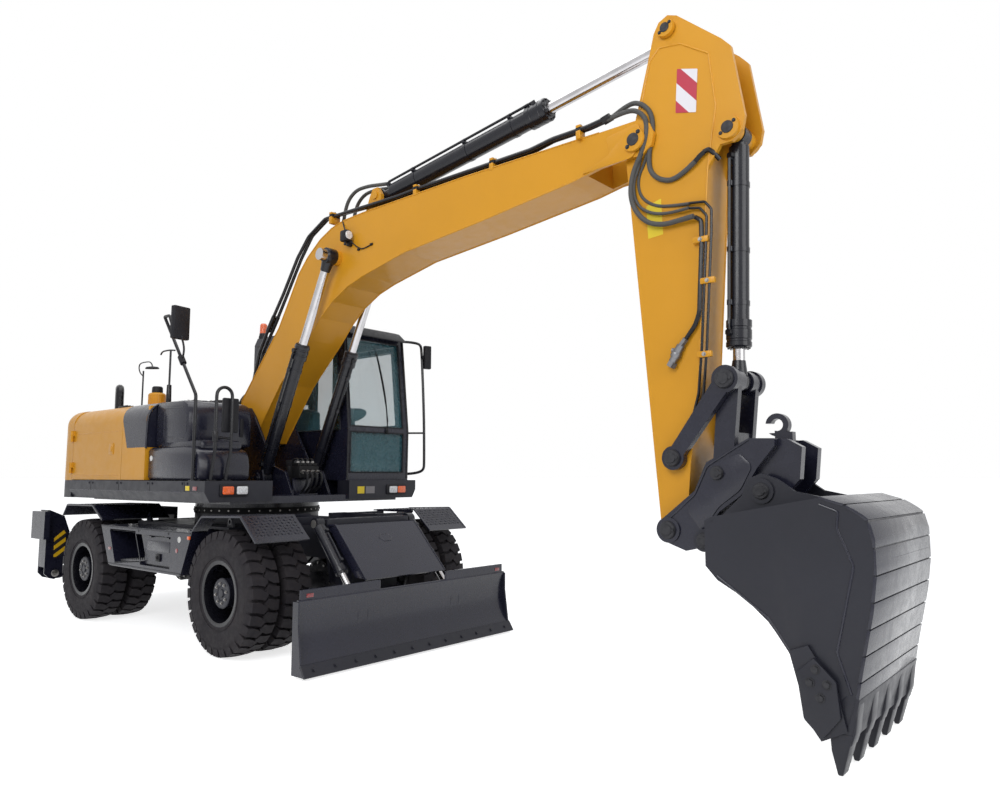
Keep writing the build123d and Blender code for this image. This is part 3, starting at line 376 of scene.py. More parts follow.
class Finish(Enum):
    """The finishes a piece may take."""

    YELLOW = Paint(
        "machine_yellow", (0.62, 0.285, 0.016), slot="yellow_paint", dust=0.01, drift=0.03, coat=0.15)
    CHARCOAL = Paint(
        "charcoal_paint", (0.012, 0.0125, 0.025), slot="charcoal_paint", roughness=0.26, coat=0.25,
        dust=0.015, gloss=0.3)
    CHARCOAL_SATIN = Paint(
        "charcoal_satin", (0.013, 0.0135, 0.021), slot="charcoal_paint", roughness=0.42, coat=0.05, dust=0.02,
        gloss=0.3)
    BLACK = Paint(
        "black_paint", (0.006, 0.006, 0.009), slot="black_paint", roughness=0.28, coat=0.2, dust=0.01)
    RAM = Paint("ram_paint", (0.009, 0.0095, 0.015), slot="black_paint", roughness=0.28, coat=0.3, dust=0.01)
    DEEP = Paint("deep_black", (0.004, 0.004, 0.005), slot="black_paint", roughness=0.6, coat=0.0, dust=0.01)
    CHROME = Metal("chrome_rod", (0.5, 0.49, 0.5), 0.16, slot="chrome_rod")
    STEEL = Metal("worn_steel", (0.2, 0.2, 0.21), 0.36, slot="worn_steel")
    ZINC = Metal("zinc_fitting", (0.3, 0.29, 0.28), 0.36, slot="worn_steel")
    CAST = Metal("cast_grey", (0.018, 0.018, 0.022), 0.6, metallic=0.2, scratches=0.0006, slot="cast_grey")
    TYRE = Rubber("tyre_rubber", (0.017, 0.015, 0.018), 0.72, slot="tyre_rubber", dust=0.07)
    HOSE = Rubber("sleeved_hose", (0.075, 0.075, 0.073), 0.55, 0.0012, slot="black_plastic", dust=0.1)
    RUBBER = Rubber("black_hose", (0.009, 0.009, 0.011), 0.45, slot="black_plastic", dust=0.04)
    PLASTIC = Rubber("black_plastic", (0.01, 0.01, 0.013), 0.45, slot="black_plastic", dust=0.03)
    GREY_PLASTIC = Rubber("grey_plastic", (0.11, 0.11, 0.115), 0.55, slot="black_plastic", dust=0.1)
    GLASS = Glass("cab_glass", (0.09, 0.26, 0.31), alpha=0.26)
    DOOR_GLASS = Glass("door_glass", (0.12, 0.3, 0.34), alpha=0.2)
    AMBER = Lens("amber_lens", (0.9, 0.13, 0.01), 0.1)
    CLEAR = Lens("clear_lens", (0.75, 0.76, 0.78), 0.08)
    RED = Lens("red_reflector", (0.27, 0.008, 0.015))
    CLOTH = Weave("seat_cloth", (0.022, 0.022, 0.026))
    PALE_DECAL = Paint("pale_decal", (0.72, 0.71, 0.69), slot="yellow_paint", dust=0.02, coat=0.1)
    YELLOW_DECAL = Paint("yellow_decal", (0.83, 0.62, 0.04), slot="yellow_paint", dust=0.02, coat=0.1)
    GREY_DECAL = Paint("grey_decal", (0.2, 0.19, 0.2), slot="yellow_paint", dust=0.02)
    STICK_PLATE = Stripes(
        "red_white_plate", (0.42, 0.015, 0.045), (0.7, 0.68, 0.72), 0.085, (0.77, 0.0, 0.64))
    LEG_STRIPES = Stripes(
        "yellow_black_stripes", (0.012, 0.012, 0.014), (0.72, 0.42, 0.01), 0.04, (0.0, 0.6, -0.8))

    @property
    def slot_name(self) -> str:
        """The record's material slot behind this finish."""
        return self.value.slot


class Paintshop:
    """Keeps one material per finish."""

    def __init__(self) -> None:
        """Starts with no material made."""
        self.made: dict[Finish, bpy.types.Material] = {}

    def material(self, finish: Finish) -> bpy.types.Material:
        """Returns the finish's material, made the first time it is asked for."""
        if finish not in self.made:
            self.made[finish] = finish.value.build()
        return self.made[finish]


# ---- shapes -----------------------------------------------------------------------------------------
class Face(Enum):
    """The plane an outline is drawn in, with the direction its plate grows."""

    SIDE = (0, 2, 1)
    CROSS = (1, 2, 0)
    PLAN = (0, 1, 2)


class Shape:
    """One piece's mesh, shaped with bmesh operators in stations from the slew axis.

    Attributes:
        sharp: Edges that turn by more than this, in radians, are rounded.
        merge: Points of a turned form closer than this become one.
        bend: A tube's bends reach this many radii to each side.
        corner_steps: Steps of a plate's rounded corner.
        washer_share: A washer's height and radius, as shares of its bolt's.
    """

    sharp: ClassVar[float] = 0.35
    merge: ClassVar[float] = 0.00005
    bend: ClassVar[float] = 3.0
    corner_steps: ClassVar[int] = 5
    washer_share: ClassVar[Flat] = (0.3, 1.45)

    def __init__(self) -> None:
        """Starts an empty mesh."""
        self.bm = bmesh.new()

    def _round(self, verts: Sequence[bmesh.types.BMVert], width: float, segments: int = 2) -> None:
        """Bevels the edges of the given vertices."""
        edges = list(
            {edge for vert in verts for edge in vert.link_edges
            if len(edge.link_faces) == 2 and edge.calc_face_angle(0.0) > self.sharp})
        bmesh.ops.bevel(
            self.bm, geom=edges, offset=width, offset_type="OFFSET", segments=segments, profile=0.5,
            affect="EDGES", clamp_overlap=True, material=-1)

    def block(self, low: Point, high: Point, round_by: float = 0.0, turn: Matrix | None = None) -> "Shape":
        """Adds a box between two corners.

        Args:
            low: One corner.
            high: The opposite corner.
            round_by: Width of the rounded edges.
            turn: A rotation about the box's middle.

        Returns:
            The shape itself.
        """
        a, b = Vector(low), Vector(high)
        size = Vector(abs(b[i] - a[i]) for i in range(3))
        matrix = Matrix.Translation((a + b) / 2) @ (turn or Matrix()).to_4x4() @ Matrix.Diagonal((*size, 1.0))
        verts = bmesh.ops.create_cube(self.bm, size=1.0, matrix=matrix)["verts"]
        if round_by:
            self._round(verts, round_by)
        return self

    def rod(
            self, start: Point, end: Point, radius: float, sides: int = 28, end_radius: float | None = None,
            round_by: float = 0.0) -> "Shape":
        """Adds a round bar from one point to another.

        Args:
            start: Middle of one end.
            end: Middle of the other end.
            radius: Radius at the start.
            sides: Flats round it; six make a nut.
            end_radius: Radius at the end, if it tapers.
            round_by: Width of the rounded rims.

        Returns:
            The shape itself.
        """
        a, b = Vector(start), Vector(end)
        turn = (b - a).to_track_quat("Z", "Y").to_matrix().to_4x4()
        verts = bmesh.ops.create_cone(
            self.bm, cap_ends=True, cap_tris=False, segments=sides, radius1=radius,
            radius2=radius if end_radius is None else end_radius, depth=(b - a).length,
            matrix=Matrix.Translation((a + b) / 2) @ turn)["verts"]
        if round_by:
            self._round(verts, round_by)
        return self

    def plate(
            self, outline: Sequence[Flat], face: Face, near: float, far: float, round_by: float = 0.0,
            corner: float = 0.0) -> "Shape":
        """Adds a plate with an outline in one plane, grown across it.

        Args:
            outline: Corners in the plane.
            face: The plane.
            near: Where the plate starts, across the plane.
            far: Where it ends.
            round_by: Width of the rounded edges.
            corner: Radius of the outline's corners.

        Returns:
            The shape itself.
        """
        first, second, across = face.value
        verts = []
        for along, up in outline:
            place = [0.0, 0.0, 0.0]
            place[first], place[second], place[across] = along, up, near
            verts.append(self.bm.verts.new(place))
        flat = self.bm.faces.new(verts)
        if corner:
            made = bmesh.ops.bevel(
                self.bm, geom=list(flat.verts), offset=corner, offset_type="OFFSET",
                segments=self.corner_steps, profile=0.5, affect="VERTICES", clamp_overlap=True, material=-1)
            flat = next(f for v in made["verts"] for f in v.link_faces)
        grown = bmesh.ops.extrude_face_region(self.bm, geom=[flat])["geom"]
        moved = verts_in(grown)
        shift = Vector((0.0, 0.0, 0.0))
        shift[across] = far - near
        bmesh.ops.translate(self.bm, verts=moved, vec=shift)
        whole = list({v for f in {f for m in moved for f in m.link_faces} for v in f.verts})
        faces = list({f for v in whole for f in v.link_faces})
        bmesh.ops.recalc_face_normals(self.bm, faces=faces)
        if round_by:
            self._round(whole, round_by)
        return self

    def lathe(
            self, profile: Sequence[Flat], centre: Point, axis: Point = (0.0, 1.0, 0.0), steps: int = 64,
            closed: bool = True) -> "Shape":
        """Adds a turned form.

        Args:
            profile: Pairs of distance along the axis and radius.
            centre: The point the distances start from.
            axis: Direction of the axis.
            steps: Steps of a full turn.
            closed: Whether the profile's last point joins its first.

        Returns:
            The shape itself.
        """
        way = Vector(axis).normalized()
        out = way.orthogonal().normalized()
        middle = Vector(centre)
        verts = [self.bm.verts.new(middle + way * along + out * radius) for along, radius in profile]
        pairs = list(zip(verts, verts[1:] + verts[:1])) if closed else list(zip(verts, verts[1:]))
        edges = [self.bm.edges.new(pair) for pair in pairs]
        known = set(self.bm.faces)
        bmesh.ops.spin(
            self.bm, geom=verts + edges, cent=middle, axis=way, angle=math.tau, steps=steps, use_merge=True,
            use_duplicate=False)
        faces = [f for f in self.bm.faces if f not in known]
        turned = list({v for f in faces for v in f.verts})
        bmesh.ops.remove_doubles(self.bm, verts=turned, dist=self.merge)
        bmesh.ops.recalc_face_normals(self.bm, faces=[f for f in self.bm.faces if f not in known])
        return self

    def pipe(
            self, points: Sequence[Point], radius: float, smooth: bool = True, ends: int = 3,
            resolution: int = 8) -> "Shape":
        """Adds a round tube along a route.

        Args:
            points: The route's control points.
            radius: The tube's radius.
            smooth: True for a flowing spline, False for straight runs with tight bends.
            ends: Order of the spline; 2 keeps it straight between points.
            resolution: Steps between control points.

        Returns:
            The shape itself.
        """
        curve = bpy.data.curves.new("route", "CURVE")
        curve.dimensions = "3D"
        curve.bevel_depth = radius
        curve.bevel_resolution = 3
        curve.use_fill_caps = True
        spline = curve.splines.new("NURBS")
        route = list(points) if smooth else eased(points, radius * self.bend)
        spline.points.add(len(route) - 1)
        for slot, place in zip(spline.points, route):
            slot.co = (*place, 1.0)
        spline.order_u = 3 if smooth else ends
        spline.use_endpoint_u = True
        spline.resolution_u = resolution
        holder = bpy.data.objects.new("route", curve)
        bpy.context.scene.collection.objects.link(holder)
        mesh = bpy.data.meshes.new_from_object(holder.evaluated_get(bpy.context.evaluated_depsgraph_get()))
        self.bm.from_mesh(mesh)
        bpy.data.objects.remove(holder)
        bpy.data.curves.remove(curve)
        bpy.data.meshes.remove(mesh)
        return self

    def run(self, points: Sequence[Point], radius: float) -> "Shape":
        """Adds a round tube with straight runs and tight bends."""
        return self.pipe(points, radius, False)

    def bead(self, line: Sequence[Flat], y: float, radius: float) -> "Shape":
        """Adds a weld bead along an X-Z line."""
        return self.pipe([(x, y, z) for x, z in line], radius, False, 2, 1)

    def outline(self, corners: Sequence[Point], radius: float) -> "Shape":
        """Adds a straight tube along every side of a closed outline."""
        for pair in zip(corners, [*corners[1:], corners[0]]):
            self.run(pair, radius)
        return self

    def bolts(
            self, places: Sequence[Point], axis: Point, radius: float = 0.014, height: float = 0.012,
            washer: bool = True) -> "Shape":
        """Adds hexagon heads, with washers, standing along an axis."""
        way = Vector(axis).normalized()
        for place in places:
            foot = Vector(place)
            if washer:
                self.rod(foot, foot + way * height * self.washer_share[0], radius * self.washer_share[1], 18)
            self.rod(foot + way * height * 0.25, foot + way * height, radius, 6)
        return self

    def mirrored(self) -> "Shape":
        """Adds a copy of everything so far on the machine's other side."""
        copied = bmesh.ops.duplicate(
            self.bm, geom=self.bm.verts[:] + self.bm.edges[:] + self.bm.faces[:])["geom"]
        verts = verts_in(copied)
        faces = [item for item in copied if isinstance(item, bmesh.types.BMFace)]
        bmesh.ops.scale(self.bm, verts=verts, vec=(1.0, -1.0, 1.0))
        bmesh.ops.reverse_faces(self.bm, faces=faces)
        return self

    def turned(self, centre: Point, axis: Point, angle: float) -> "Shape":
        """Turns everything so far about a point."""
        bmesh.ops.rotate(
            self.bm, verts=self.bm.verts, cent=Vector(centre), matrix=Matrix.Rotation(angle, 3, Vector(axis)))
        return self


def oblong(near: float, low: float, far: float, high: float) -> list[Flat]:
    """The four corners of an upright rectangle."""
    return [(near, low), (far, low), (far, high), (near, high)]


def turns(count: int, start: float = 0.0) -> list[float]:
    """Even angles round a full circle, from a starting angle."""
    return [math.tau * index / count + start for index in range(count)]


def ringed(centre: Flat, radius: float, angles: Sequence[float]) -> list[Flat]:
    """Places on a circle, at the given angles."""
    return [(centre[0] + radius * math.cos(angle), centre[1] + radius * math.sin(angle)) for angle in angles]


def outward(angle: float) -> Vector:
    """The level direction at an angle from the machine's front."""
    return Vector((math.cos(angle), math.sin(angle), 0.0))


def verts_in(geometry: Sequence[object]) -> list[bmesh.types.BMVert]:
    """The vertices among an operator's results."""
    return [item for item in geometry if isinstance(item, bmesh.types.BMVert)]


def eased(points: Sequence[Point], reach: float, most: float = 0.45) -> list[Vector]:
    """Puts two more points beside each corner of a route, so a spline bends only there.

    Args:
        points: Corners of the route.
        reach: Distance from each corner to its helpers.
        most: The largest share of a leg that this may take.

    Returns:
        The longer list of points.
    """
    spots = [Vector(p) for p in points]
    route = [spots[0]]
    for before, here, after in zip(spots, spots[1:], spots[2:]):
        for other in (before, after):
            leg = other - here
            route.append(here + leg * min(most, reach / max(leg.length, 1e-6)))
            if other is before:
                route.append(here.copy())
    route.append(spots[-1])
    return route


@dataclass
class Yard:
    """What every sub-assembly needs: the frame, the paint shop and the way to put a piece in place."""

    frame: dict
    shop: Paintshop
    slew_x: float

    def station(self, x: float, y: float, z: float) -> Vector:
        """A place in the frame, from its station ahead of the slew axis."""
        return Vector((self.slew_x + x, y, z))

    def pivot(self, joint: str) -> Vector:
        """A joint's place, with X as a station from the slew axis."""
        found = next(j for j in self.frame["joints"] if j["name"] == joint)
        return Vector(found["pos_m"]) - Vector((self.slew_x, 0.0, 0.0))

    def put(
            self, name: str, shape: Shape, finish: Finish, body: str, smooth: float = 32.0,
            replaces: Sequence[str] = ()) -> bpy.types.Object:
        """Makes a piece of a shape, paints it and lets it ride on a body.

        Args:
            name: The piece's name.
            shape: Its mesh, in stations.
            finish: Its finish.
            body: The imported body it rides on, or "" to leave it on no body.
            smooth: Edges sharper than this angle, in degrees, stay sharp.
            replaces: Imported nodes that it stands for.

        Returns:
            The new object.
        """
        bmesh.ops.translate(shape.bm, verts=shape.bm.verts, vec=(self.slew_x, 0.0, 0.0))
        mesh = bpy.data.meshes.new(name)
        shape.bm.to_mesh(mesh)
        shape.bm.free()
        mesh.shade_smooth()
        mesh.set_sharp_from_angle(angle=math.radians(smooth))
        mesh.materials.append(self.shop.material(finish))
        piece = bpy.data.objects.new(name, mesh)
        bpy.context.scene.collection.objects.link(piece)
        if body:
            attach(piece, body)
        if replaces:
            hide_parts(*replaces)
        LOG.info("piece %s on %s, %d faces", name, body, len(mesh.polygons))
        return piece

    def dress(self, finish: Finish, *nodes: str) -> None:
        """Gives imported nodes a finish."""
        for name in nodes:
            node = self.frame["nodes"][name]
            node.data.materials.clear()
            node.data.materials.append(self.shop.material(finish))
            LOG.info("dressed %s", name)


@dataclass
class Trim:
    """What the sub-assemblies share: the yard, and short calls to add pieces and paint nodes."""

    yard: Yard
    home: ClassVar[str] = "upper"

    def put(
            self, name: str, shape: Shape, finish: Finish, body: str | None = None, smooth: float = 32.0,
            replaces: Sequence[str] = ()) -> bpy.types.Object:
        """Adds a piece as the yard does, on the sub-assembly's own body where none is named."""
        return self.yard.put(name, shape, finish, self.home if body is None else body, smooth, replaces)

    def dress(self, finish: Finish, *nodes: str) -> None:
        """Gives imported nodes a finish."""
        self.yard.dress(finish, *nodes)


# ---- wheels -----------------------------------------------------------------------------------------
@dataclass
class TwinWheels(Trim):
    """Four pairs of block-tread tyres on deep dished rims."""

    tyre_radius: float = 0.530
    tyre_width: float = 0.275
    carcass: float = 0.503
    tread_inset: float = 0.028
    lug_taper: float = 0.94
    crown_drop: float = 0.042
    crown_power: float = 2.2
    lugs: int = 30
    outer_face: float = 1.250
    dual_gap: float = 0.045
    bolt_circle: float = 0.082
    bolt_count: int = 8
    nut_circle: float = 0.17
    nut_count: int = 10

    def lug_outlines(self) -> list[list[Flat]]:
        """The two interlocking block outlines: share of the width, share of a pitch."""
        outer = [
            (-0.5, 0.0), (-0.27, 0.03), (-0.02, 0.35), (0.07, 0.58), (-0.06, 1.0), (-0.3, 0.83), (-0.5, 0.8)]
        inner = [(-across, 0.8 - around) for across, around in outer]
        return [outer, inner]

    def tyre(self, axle_x: float, start: float, side: float, turn: float) -> Shape:
        """One tyre with its tread blocks.

        Args:
            axle_x: The axle's station.
            start: Distance of the tyre's inner face from the machine's middle.
            side: Sign of Y.
            turn: Share of a pitch that the tread is turned by.

        Returns:
            The tyre's shape.
        """
        half = self.tyre_width / 2
        middle = side * (start + half)
        centre = (axle_x, middle, self.tyre_radius)
        wall = [
            (0.110, 0.262), (0.128, 0.280), (0.134, 0.330), (0.1365, 0.385), (0.1365, 0.430), (0.131, 0.462),
            (0.118, 0.488), (0.07, 0.5), (0.0, self.carcass)]
        section = wall + [(-along, radius) for along, radius in reversed(wall[:-1])]
        section += [(-0.095, 0.2525), (0.095, 0.2525)]
        shape = Shape().lathe(section, centre, steps=90)
        for ring in (0.300, 0.415):
            for end in HANDS:
                shape.lathe(
                    [(end * 0.128, ring), (end * 0.1372, ring + 0.002), (end * 0.1372, ring + 0.007),
                    (end * 0.128, ring + 0.009)], centre, steps=72)
        pitch = math.tau / self.lugs
        for outline in self.lug_outlines():
            for index in range(self.lugs):
                self.block(shape, outline, centre, (index + turn) * pitch, pitch, side)
        return shape

    def block(
            self, shape: Shape, outline: Sequence[Flat], centre: Point, turn: float, pitch: float,
            side: float) -> None:
        """Adds one tread block: a flat outline extruded, then wrapped round the carcass."""
        verts = [shape.bm.verts.new((across, around, 0.0)) for across, around in outline]
        flat = shape.bm.faces.new(verts)
        grown = bmesh.ops.extrude_face_region(shape.bm, geom=[flat])["geom"]
        tops = set(verts_in(grown))
        faces = list({f for v in tops for f in v.link_faces} | {flat})
        for vert in [*verts, *tops]:
            across, around = vert.co.x, vert.co.y
            edge = abs(across) > 0.45
            if vert in tops:
                radius = self.tyre_radius - self.crown_drop * abs(across) ** self.crown_power
                width = across * (self.tyre_width - self.tread_inset)
                around = 0.4 + (around - 0.4) * self.lug_taper
            else:
                radius = 0.452 if edge else self.carcass - 0.008
                width = across * (self.tyre_width - 0.002)
            angle = turn + around * pitch
            vert.co = Vector(
                (centre[0] + radius * math.cos(angle), centre[1] + side * width,
                centre[2] + radius * math.sin(angle)))
        bmesh.ops.recalc_face_normals(shape.bm, faces=faces)

    def rim(self, axle_x: float, side: float) -> Shape:
        """The pair's rims, centre disc and hub."""
        centre = (axle_x, 0.0, self.tyre_radius)
        inner_face = self.outer_face - 2 * self.tyre_width - self.dual_gap
        shape = Shape()
        for start in (inner_face, self.outer_face - self.tyre_width):
            low, high = side * (start + 0.012), side * (start + self.tyre_width - 0.012)
            step = side * 0.001
            profile = [
                (low, 0.276), (low + 6 * step, 0.279), (low + 12 * step, 0.274), (low + 14 * step, 0.251),
                (low + 40 * step, 0.250), (low + 48 * step, 0.246), (high - 48 * step, 0.246),
                (high - 40 * step, 0.250), (high - 14 * step, 0.251), (high - 12 * step, 0.274),
                (high - 6 * step, 0.279), (high, 0.276), (high - step, 0.262), (high - 4 * step, 0.243),
                (high - 40 * step, 0.238), (low + 40 * step, 0.238), (low + 4 * step, 0.243),
                (low + step, 0.262)]
            shape.lathe(profile, centre, steps=72)
        disc = [
            (side * 0.944, 0.2375), (side * 0.962, 0.2375), (side * 0.972, 0.215), (side * 0.985, 0.160),
            (side * 0.985, 0.09), (side * 0.968, 0.09), (side * 0.968, 0.155), (side * 0.955, 0.205)]
        shape.lathe(disc, centre, steps=64)
        return shape

    def hub(self, axle_x: float, side: float) -> Shape:
        """The round hub with its end plate."""
        centre = (axle_x, 0.0, self.tyre_radius)
        profile = [
            (side * y, r) for y, r in ((1.005, 0.092), (0.966, 0.092), (0.966, 0.127), (1.02, 0.127),
            (1.024, 0.121), (1.19, 0.121), (1.196, 0.1275), (1.208, 0.1275), (1.2145, 0.119), (1.2145, 0.062),
            (1.209, 0.058), (1.209, 0.036), (1.219, 0.032), (1.219, 0.0), (1.005, 0.0))]
        return Shape().lathe(profile, centre, steps=48, closed=False)

    def build(self) -> None:
        """Makes all four pairs."""
        for axle in ("front", "rear"):
            for name, side in SIDES:
                body = f"wheel_{axle}_{name}"
                axle_x = self.yard.pivot(f"{body}_spin").x
                inner = self.outer_face - 2 * self.tyre_width - self.dual_gap
                starts = (("inner", inner, 0.35), ("outer", self.outer_face - self.tyre_width, 0.0))
                for place, start, turn in starts:
                    tyre = self.tyre(axle_x, start, side, turn)
                    self.put(
                        f"tyre_{axle}_{name}_{place}", tyre, Finish.TYRE, body, 38.0,
                        (f"tyres_{axle}_{name}",) if place == "outer" else ())
                self.put(
                    f"rim_{axle}_{name}", self.rim(axle_x, side), Finish.BLACK, body, 40.0,
                    (f"wheel_{axle}_{name}",))
                self.put(f"hub_{axle}_{name}", self.hub(axle_x, side), Finish.CHARCOAL_SATIN, body)
                self.fasteners(axle, name, body, axle_x, side)

    def fasteners(self, axle: str, name: str, body: str, axle_x: float, side: float) -> None:
        """The hub's bolts, the disc's nuts and the valve."""
        rings = (
            (self.bolt_circle, 1.2145, 0.009, self.bolt_count),
            (self.nut_circle, 0.985, 0.014, self.nut_count))
        shape = Shape()
        for ring, y, size, count in rings:
            places = ringed((axle_x, self.tyre_radius), ring, turns(count, 0.2))
            shape.bolts([(x, side * y, z) for x, z in places], (0.0, side, 0.0), size, size * 1.3)
        self.put(f"wheel_nuts_{axle}_{name}", shape, Finish.ZINC, body)
        self.put(
            f"valve_{axle}_{name}", Shape().pipe([(axle_x + 0.2, side * 0.975, self.tyre_radius - 0.11),
            (axle_x + 0.2, side * 1.03, self.tyre_radius - 0.11), (axle_x + 0.195, side * 1.09,
            self.tyre_radius - 0.107)], 0.005), Finish.RUBBER, body)


# ---- undercarriage ----------------------------------------------------------------------------------
@dataclass
class Undercarriage(Trim):
    """Carriage frame, side boxes, fenders and blade cover, with their treads, latches and markers."""

    home: ClassVar[str] = "carriage"
    box_face: float = 1.250
    tread_pitch: float = 0.033
    tread_length: float = 0.022
    ring_radius: float = 0.618
    ring_bolts: int = 40
    grating_rows: int = 6
    grating_teeth: int = 13
    flange_holes: int = 26
    cover_bolts: int = 12
    axle_z: float = 0.53

    def tread(
            self, shape: Shape, corner: Point, along: Point, across: Point, counts: tuple[int, int]) -> None:
        """Adds a chequer plate's raised bars, alternately turned.

        Args:
            shape: The shape to add to.
            corner: The first bar's place on the plate.
            along: Direction of the rows.
            across: Direction from row to row.
            counts: Bars in a row, and rows.
        """
        first, second = Vector(along).normalized(), Vector(across).normalized()
        up = first.cross(second)
        up = up if up.z > 0 else -up
        for row in range(counts[1]):
            for column in range(counts[0]):
                lean = 1.0 if (row + column) % 2 else -1.0
                way = (first + second * lean).normalized()
                turn = Matrix((way, up.cross(way), up)).transposed()
                place = Vector(corner) + (first * column + second * row) * self.tread_pitch
                half = Vector((self.tread_length / 2, 0.0035, 0.0014))
                shape.block(place - half, place + half, turn=turn)

    def fenders(self) -> None:
        """Chequer bars on the fenders' tops and slopes, and the lips along their edges."""
        for name, side in SIDES:
            shape = Shape()
            runs = (
                ((1.09, 1.1665), (1.683, 1.1855), 0.76, 14), ((1.71, 1.165), (1.9, 1.002), 0.76, 14),
                ((-1.80, 1.2055), (-1.19, 1.2122), 0.57, 19))
            for start, end, inner, rows in runs:
                way = Vector((end[0] - start[0], 0.0, end[1] - start[1]))
                count = int(way.length / self.tread_pitch)
                self.tread(
                    shape, (start[0], side * inner, start[1] + 0.0012), way, (0.0, side, 0.0), (count, rows))
            self.put(f"fender_tread_{name}", shape, Finish.CHARCOAL_SATIN)
            lip = Shape()
            for path in (
                    ((0.87, 1.031), (0.905, 1.031), (1.062, 1.168), (1.683, 1.188), (1.918, 0.986)),
                    ((-1.928, 1.092), (-1.83, 1.208), (-1.174, 1.215), (-0.925, 1.072))):
                lip.run([(x, side * 1.2395, z - 0.005) for x, z in path], 0.0105)
            self.put(f"fender_lips_{name}", lip, Finish.CHARCOAL)

    def side_boxes(self) -> None:
        """Raised frames, step gratings, eye collars, flanges and the toolbox door's latch."""
        for name, side in SIDES:
            y = side * self.box_face
            frame = Shape()
            for start, end in (((-0.905, 1.008), (0.895, 1.008)), ((-0.715, 0.643), (0.735, 0.643))):
                frame.run([(start[0], y - side * 0.001, start[1]), (end[0], y - side * 0.001, end[1])], 0.006)
            frame.plate(
                [(-0.715, 0.985), (-0.158, 0.985), (-0.022, 0.698), (-0.582, 0.652), (-0.565, 0.664),
                (-0.04, 0.708), (-0.168, 0.973), (-0.703, 0.973)][::-1], Face.SIDE, y - side * 0.003, y)
            self.put(f"box_trim_{name}", frame, Finish.CHARCOAL_SATIN)
            step = Shape()
            for row in range(self.grating_rows):
                y_row = side * (0.86 + 0.065 * row)
                step.block(
                    (-0.56, y_row - 0.012, 0.668), (-0.06, y_row + 0.012, 0.7), 0.004,
                    Matrix.Rotation(-0.05, 3, "Y"))
            for tooth in range(self.grating_teeth):
                x = -0.55 + tooth * 0.04
                step.block(
                    (x - 0.006, side * 0.84, 0.672 + tooth * 0.0034),
                    (x + 0.006, side * 1.2, 0.688 + tooth * 0.0034))
            self.put(f"step_grating_{name}", step, Finish.STEEL)
            eyes = Shape()
            for x in (0.8, -0.8):
                eyes.lathe(
                    [(0.013, 0.019), (0.013, 0.032), (-0.013, 0.032), (-0.013, 0.019)],
                    (x, side * 0.801, 1.09), steps=28)
            self.put(f"eye_collars_{name}", eyes, Finish.CHARCOAL)
            foot = Shape().block((-0.69, y - side * 0.05, 0.6215), (0.715, y - side * 0.001, 0.6295), 0.002)
            for index in range(self.flange_holes):
                foot.rod(
                    (-0.66 + index * 0.0535, y - side * 0.0015, 0.6255), (-0.66 + index * 0.0535, y, 0.6255),
                    0.0025, 8)
            self.put(f"box_flange_{name}", foot, Finish.STEEL)
            # Deep-black discs on the box face: painted shade standing in for the inside of two holes.
            hole_shade = Shape()
            for x in (-0.09, 0.5):
                hole_shade.rod((x, y - side * 0.001, 0.99), (x, y + side * 0.0004, 0.99), 0.012, 20)
            self.put(f"box_hole_shade_{name}", hole_shade, Finish.DEEP)
        latch = Shape().block((0.225, -1.2165, 0.72), (0.305, -1.231, 0.79), 0.004)
        latch.rod((0.265, -1.224, 0.755), (0.265, -1.240, 0.755), 0.018, 24, round_by=0.003)
        latch.block((0.259, -1.2395, 0.742), (0.271, -1.2445, 0.768), 0.002)
        self.put("toolbox_latch", latch, Finish.PLASTIC, "toolbox_door")
        self.put(
            "toolbox_pressing",
            Shape().plate(oblong(0.03, 0.908, 0.475, 0.81), Face.SIDE, -1.2155, -1.2195, 0.0025, 0.02),
            Finish.CHARCOAL, "toolbox_door")

    def markers(self) -> None:
        """Round stickers, side reflectors and the amber position lamps."""
        discs = (
            (0.70, 0.945, 0.028, Finish.PALE_DECAL), (-0.70, 0.79, 0.0, Finish.RED),
            (0.66, 0.845, 0.022, Finish.RED))
        for name, side in SIDES:
            for index, (x, z, radius, finish) in enumerate(discs):
                shape = Shape()
                if radius:
                    shape.rod((x, side * 1.2495, z), (x, side * 1.2525, z), radius, 36, round_by=0.0006)
                else:
                    shape.block(
                        (x - 0.03, side * 1.249, z - 0.015), (x + 0.03, side * 1.254, z + 0.015), 0.003)
                self.put(f"box_marker_{index}_{name}", shape, finish)
            self.put(
                f"side_lamp_{name}",
                Shape().block((0.865, side * 1.2505, 0.955), (0.9, side * 1.268, 0.985), 0.004), Finish.AMBER)
        self.put(
            "frame_marker", Shape().block((1.935, -0.20, 0.93), (1.947, -0.12, 0.965), 0.004), Finish.AMBER)

    def cover(self) -> None:
        """The blade cover's pressed hexagon and folded lips, on its sloping face."""
        high, low = Vector((1.95, 0.0, 1.09)), Vector((2.375, 0.0, 0.65))
        way = (low - high).normalized()
        out = Vector((-way.z, 0.0, way.x))
        middle = (high + low) / 2

        def spot(across: float, down: float, lift: float) -> Point:
            """A place on the slope."""
            return tuple(middle + Vector((0.0, across, 0.0)) + way * down + out * lift)

        shape = Shape()
        ring = [
            (0.075 * math.cos(a), -0.13 + 0.045 * math.sin(a)) for a in (math.radians(60 * i)
            for i in range(6))]
        shape.outline([spot(*corner, 0.0) for corner in ring], 0.005)
        inner = [shape.bm.verts.new(spot(a * 0.93, d, 0.002)) for a, d in ring]
        flat = shape.bm.faces.new(inner)
        grown = bmesh.ops.extrude_face_region(shape.bm, geom=[flat])["geom"]
        moved = verts_in(grown)
        bmesh.ops.translate(shape.bm, verts=moved, vec=-out * 0.006)
        bmesh.ops.recalc_face_normals(
            shape.bm, faces=list({f for v in [*inner, *moved] for f in v.link_faces}))
        self.put("cover_pressing", shape, Finish.CHARCOAL)
        lip = Shape()
        for y in (-0.4715, 0.4715):
            lip.run([(1.852, y, 1.086), (1.95, y, 1.091), (2.37, y, 0.657)], 0.006)
        self.put("cover_lips", lip, Finish.CHARCOAL)

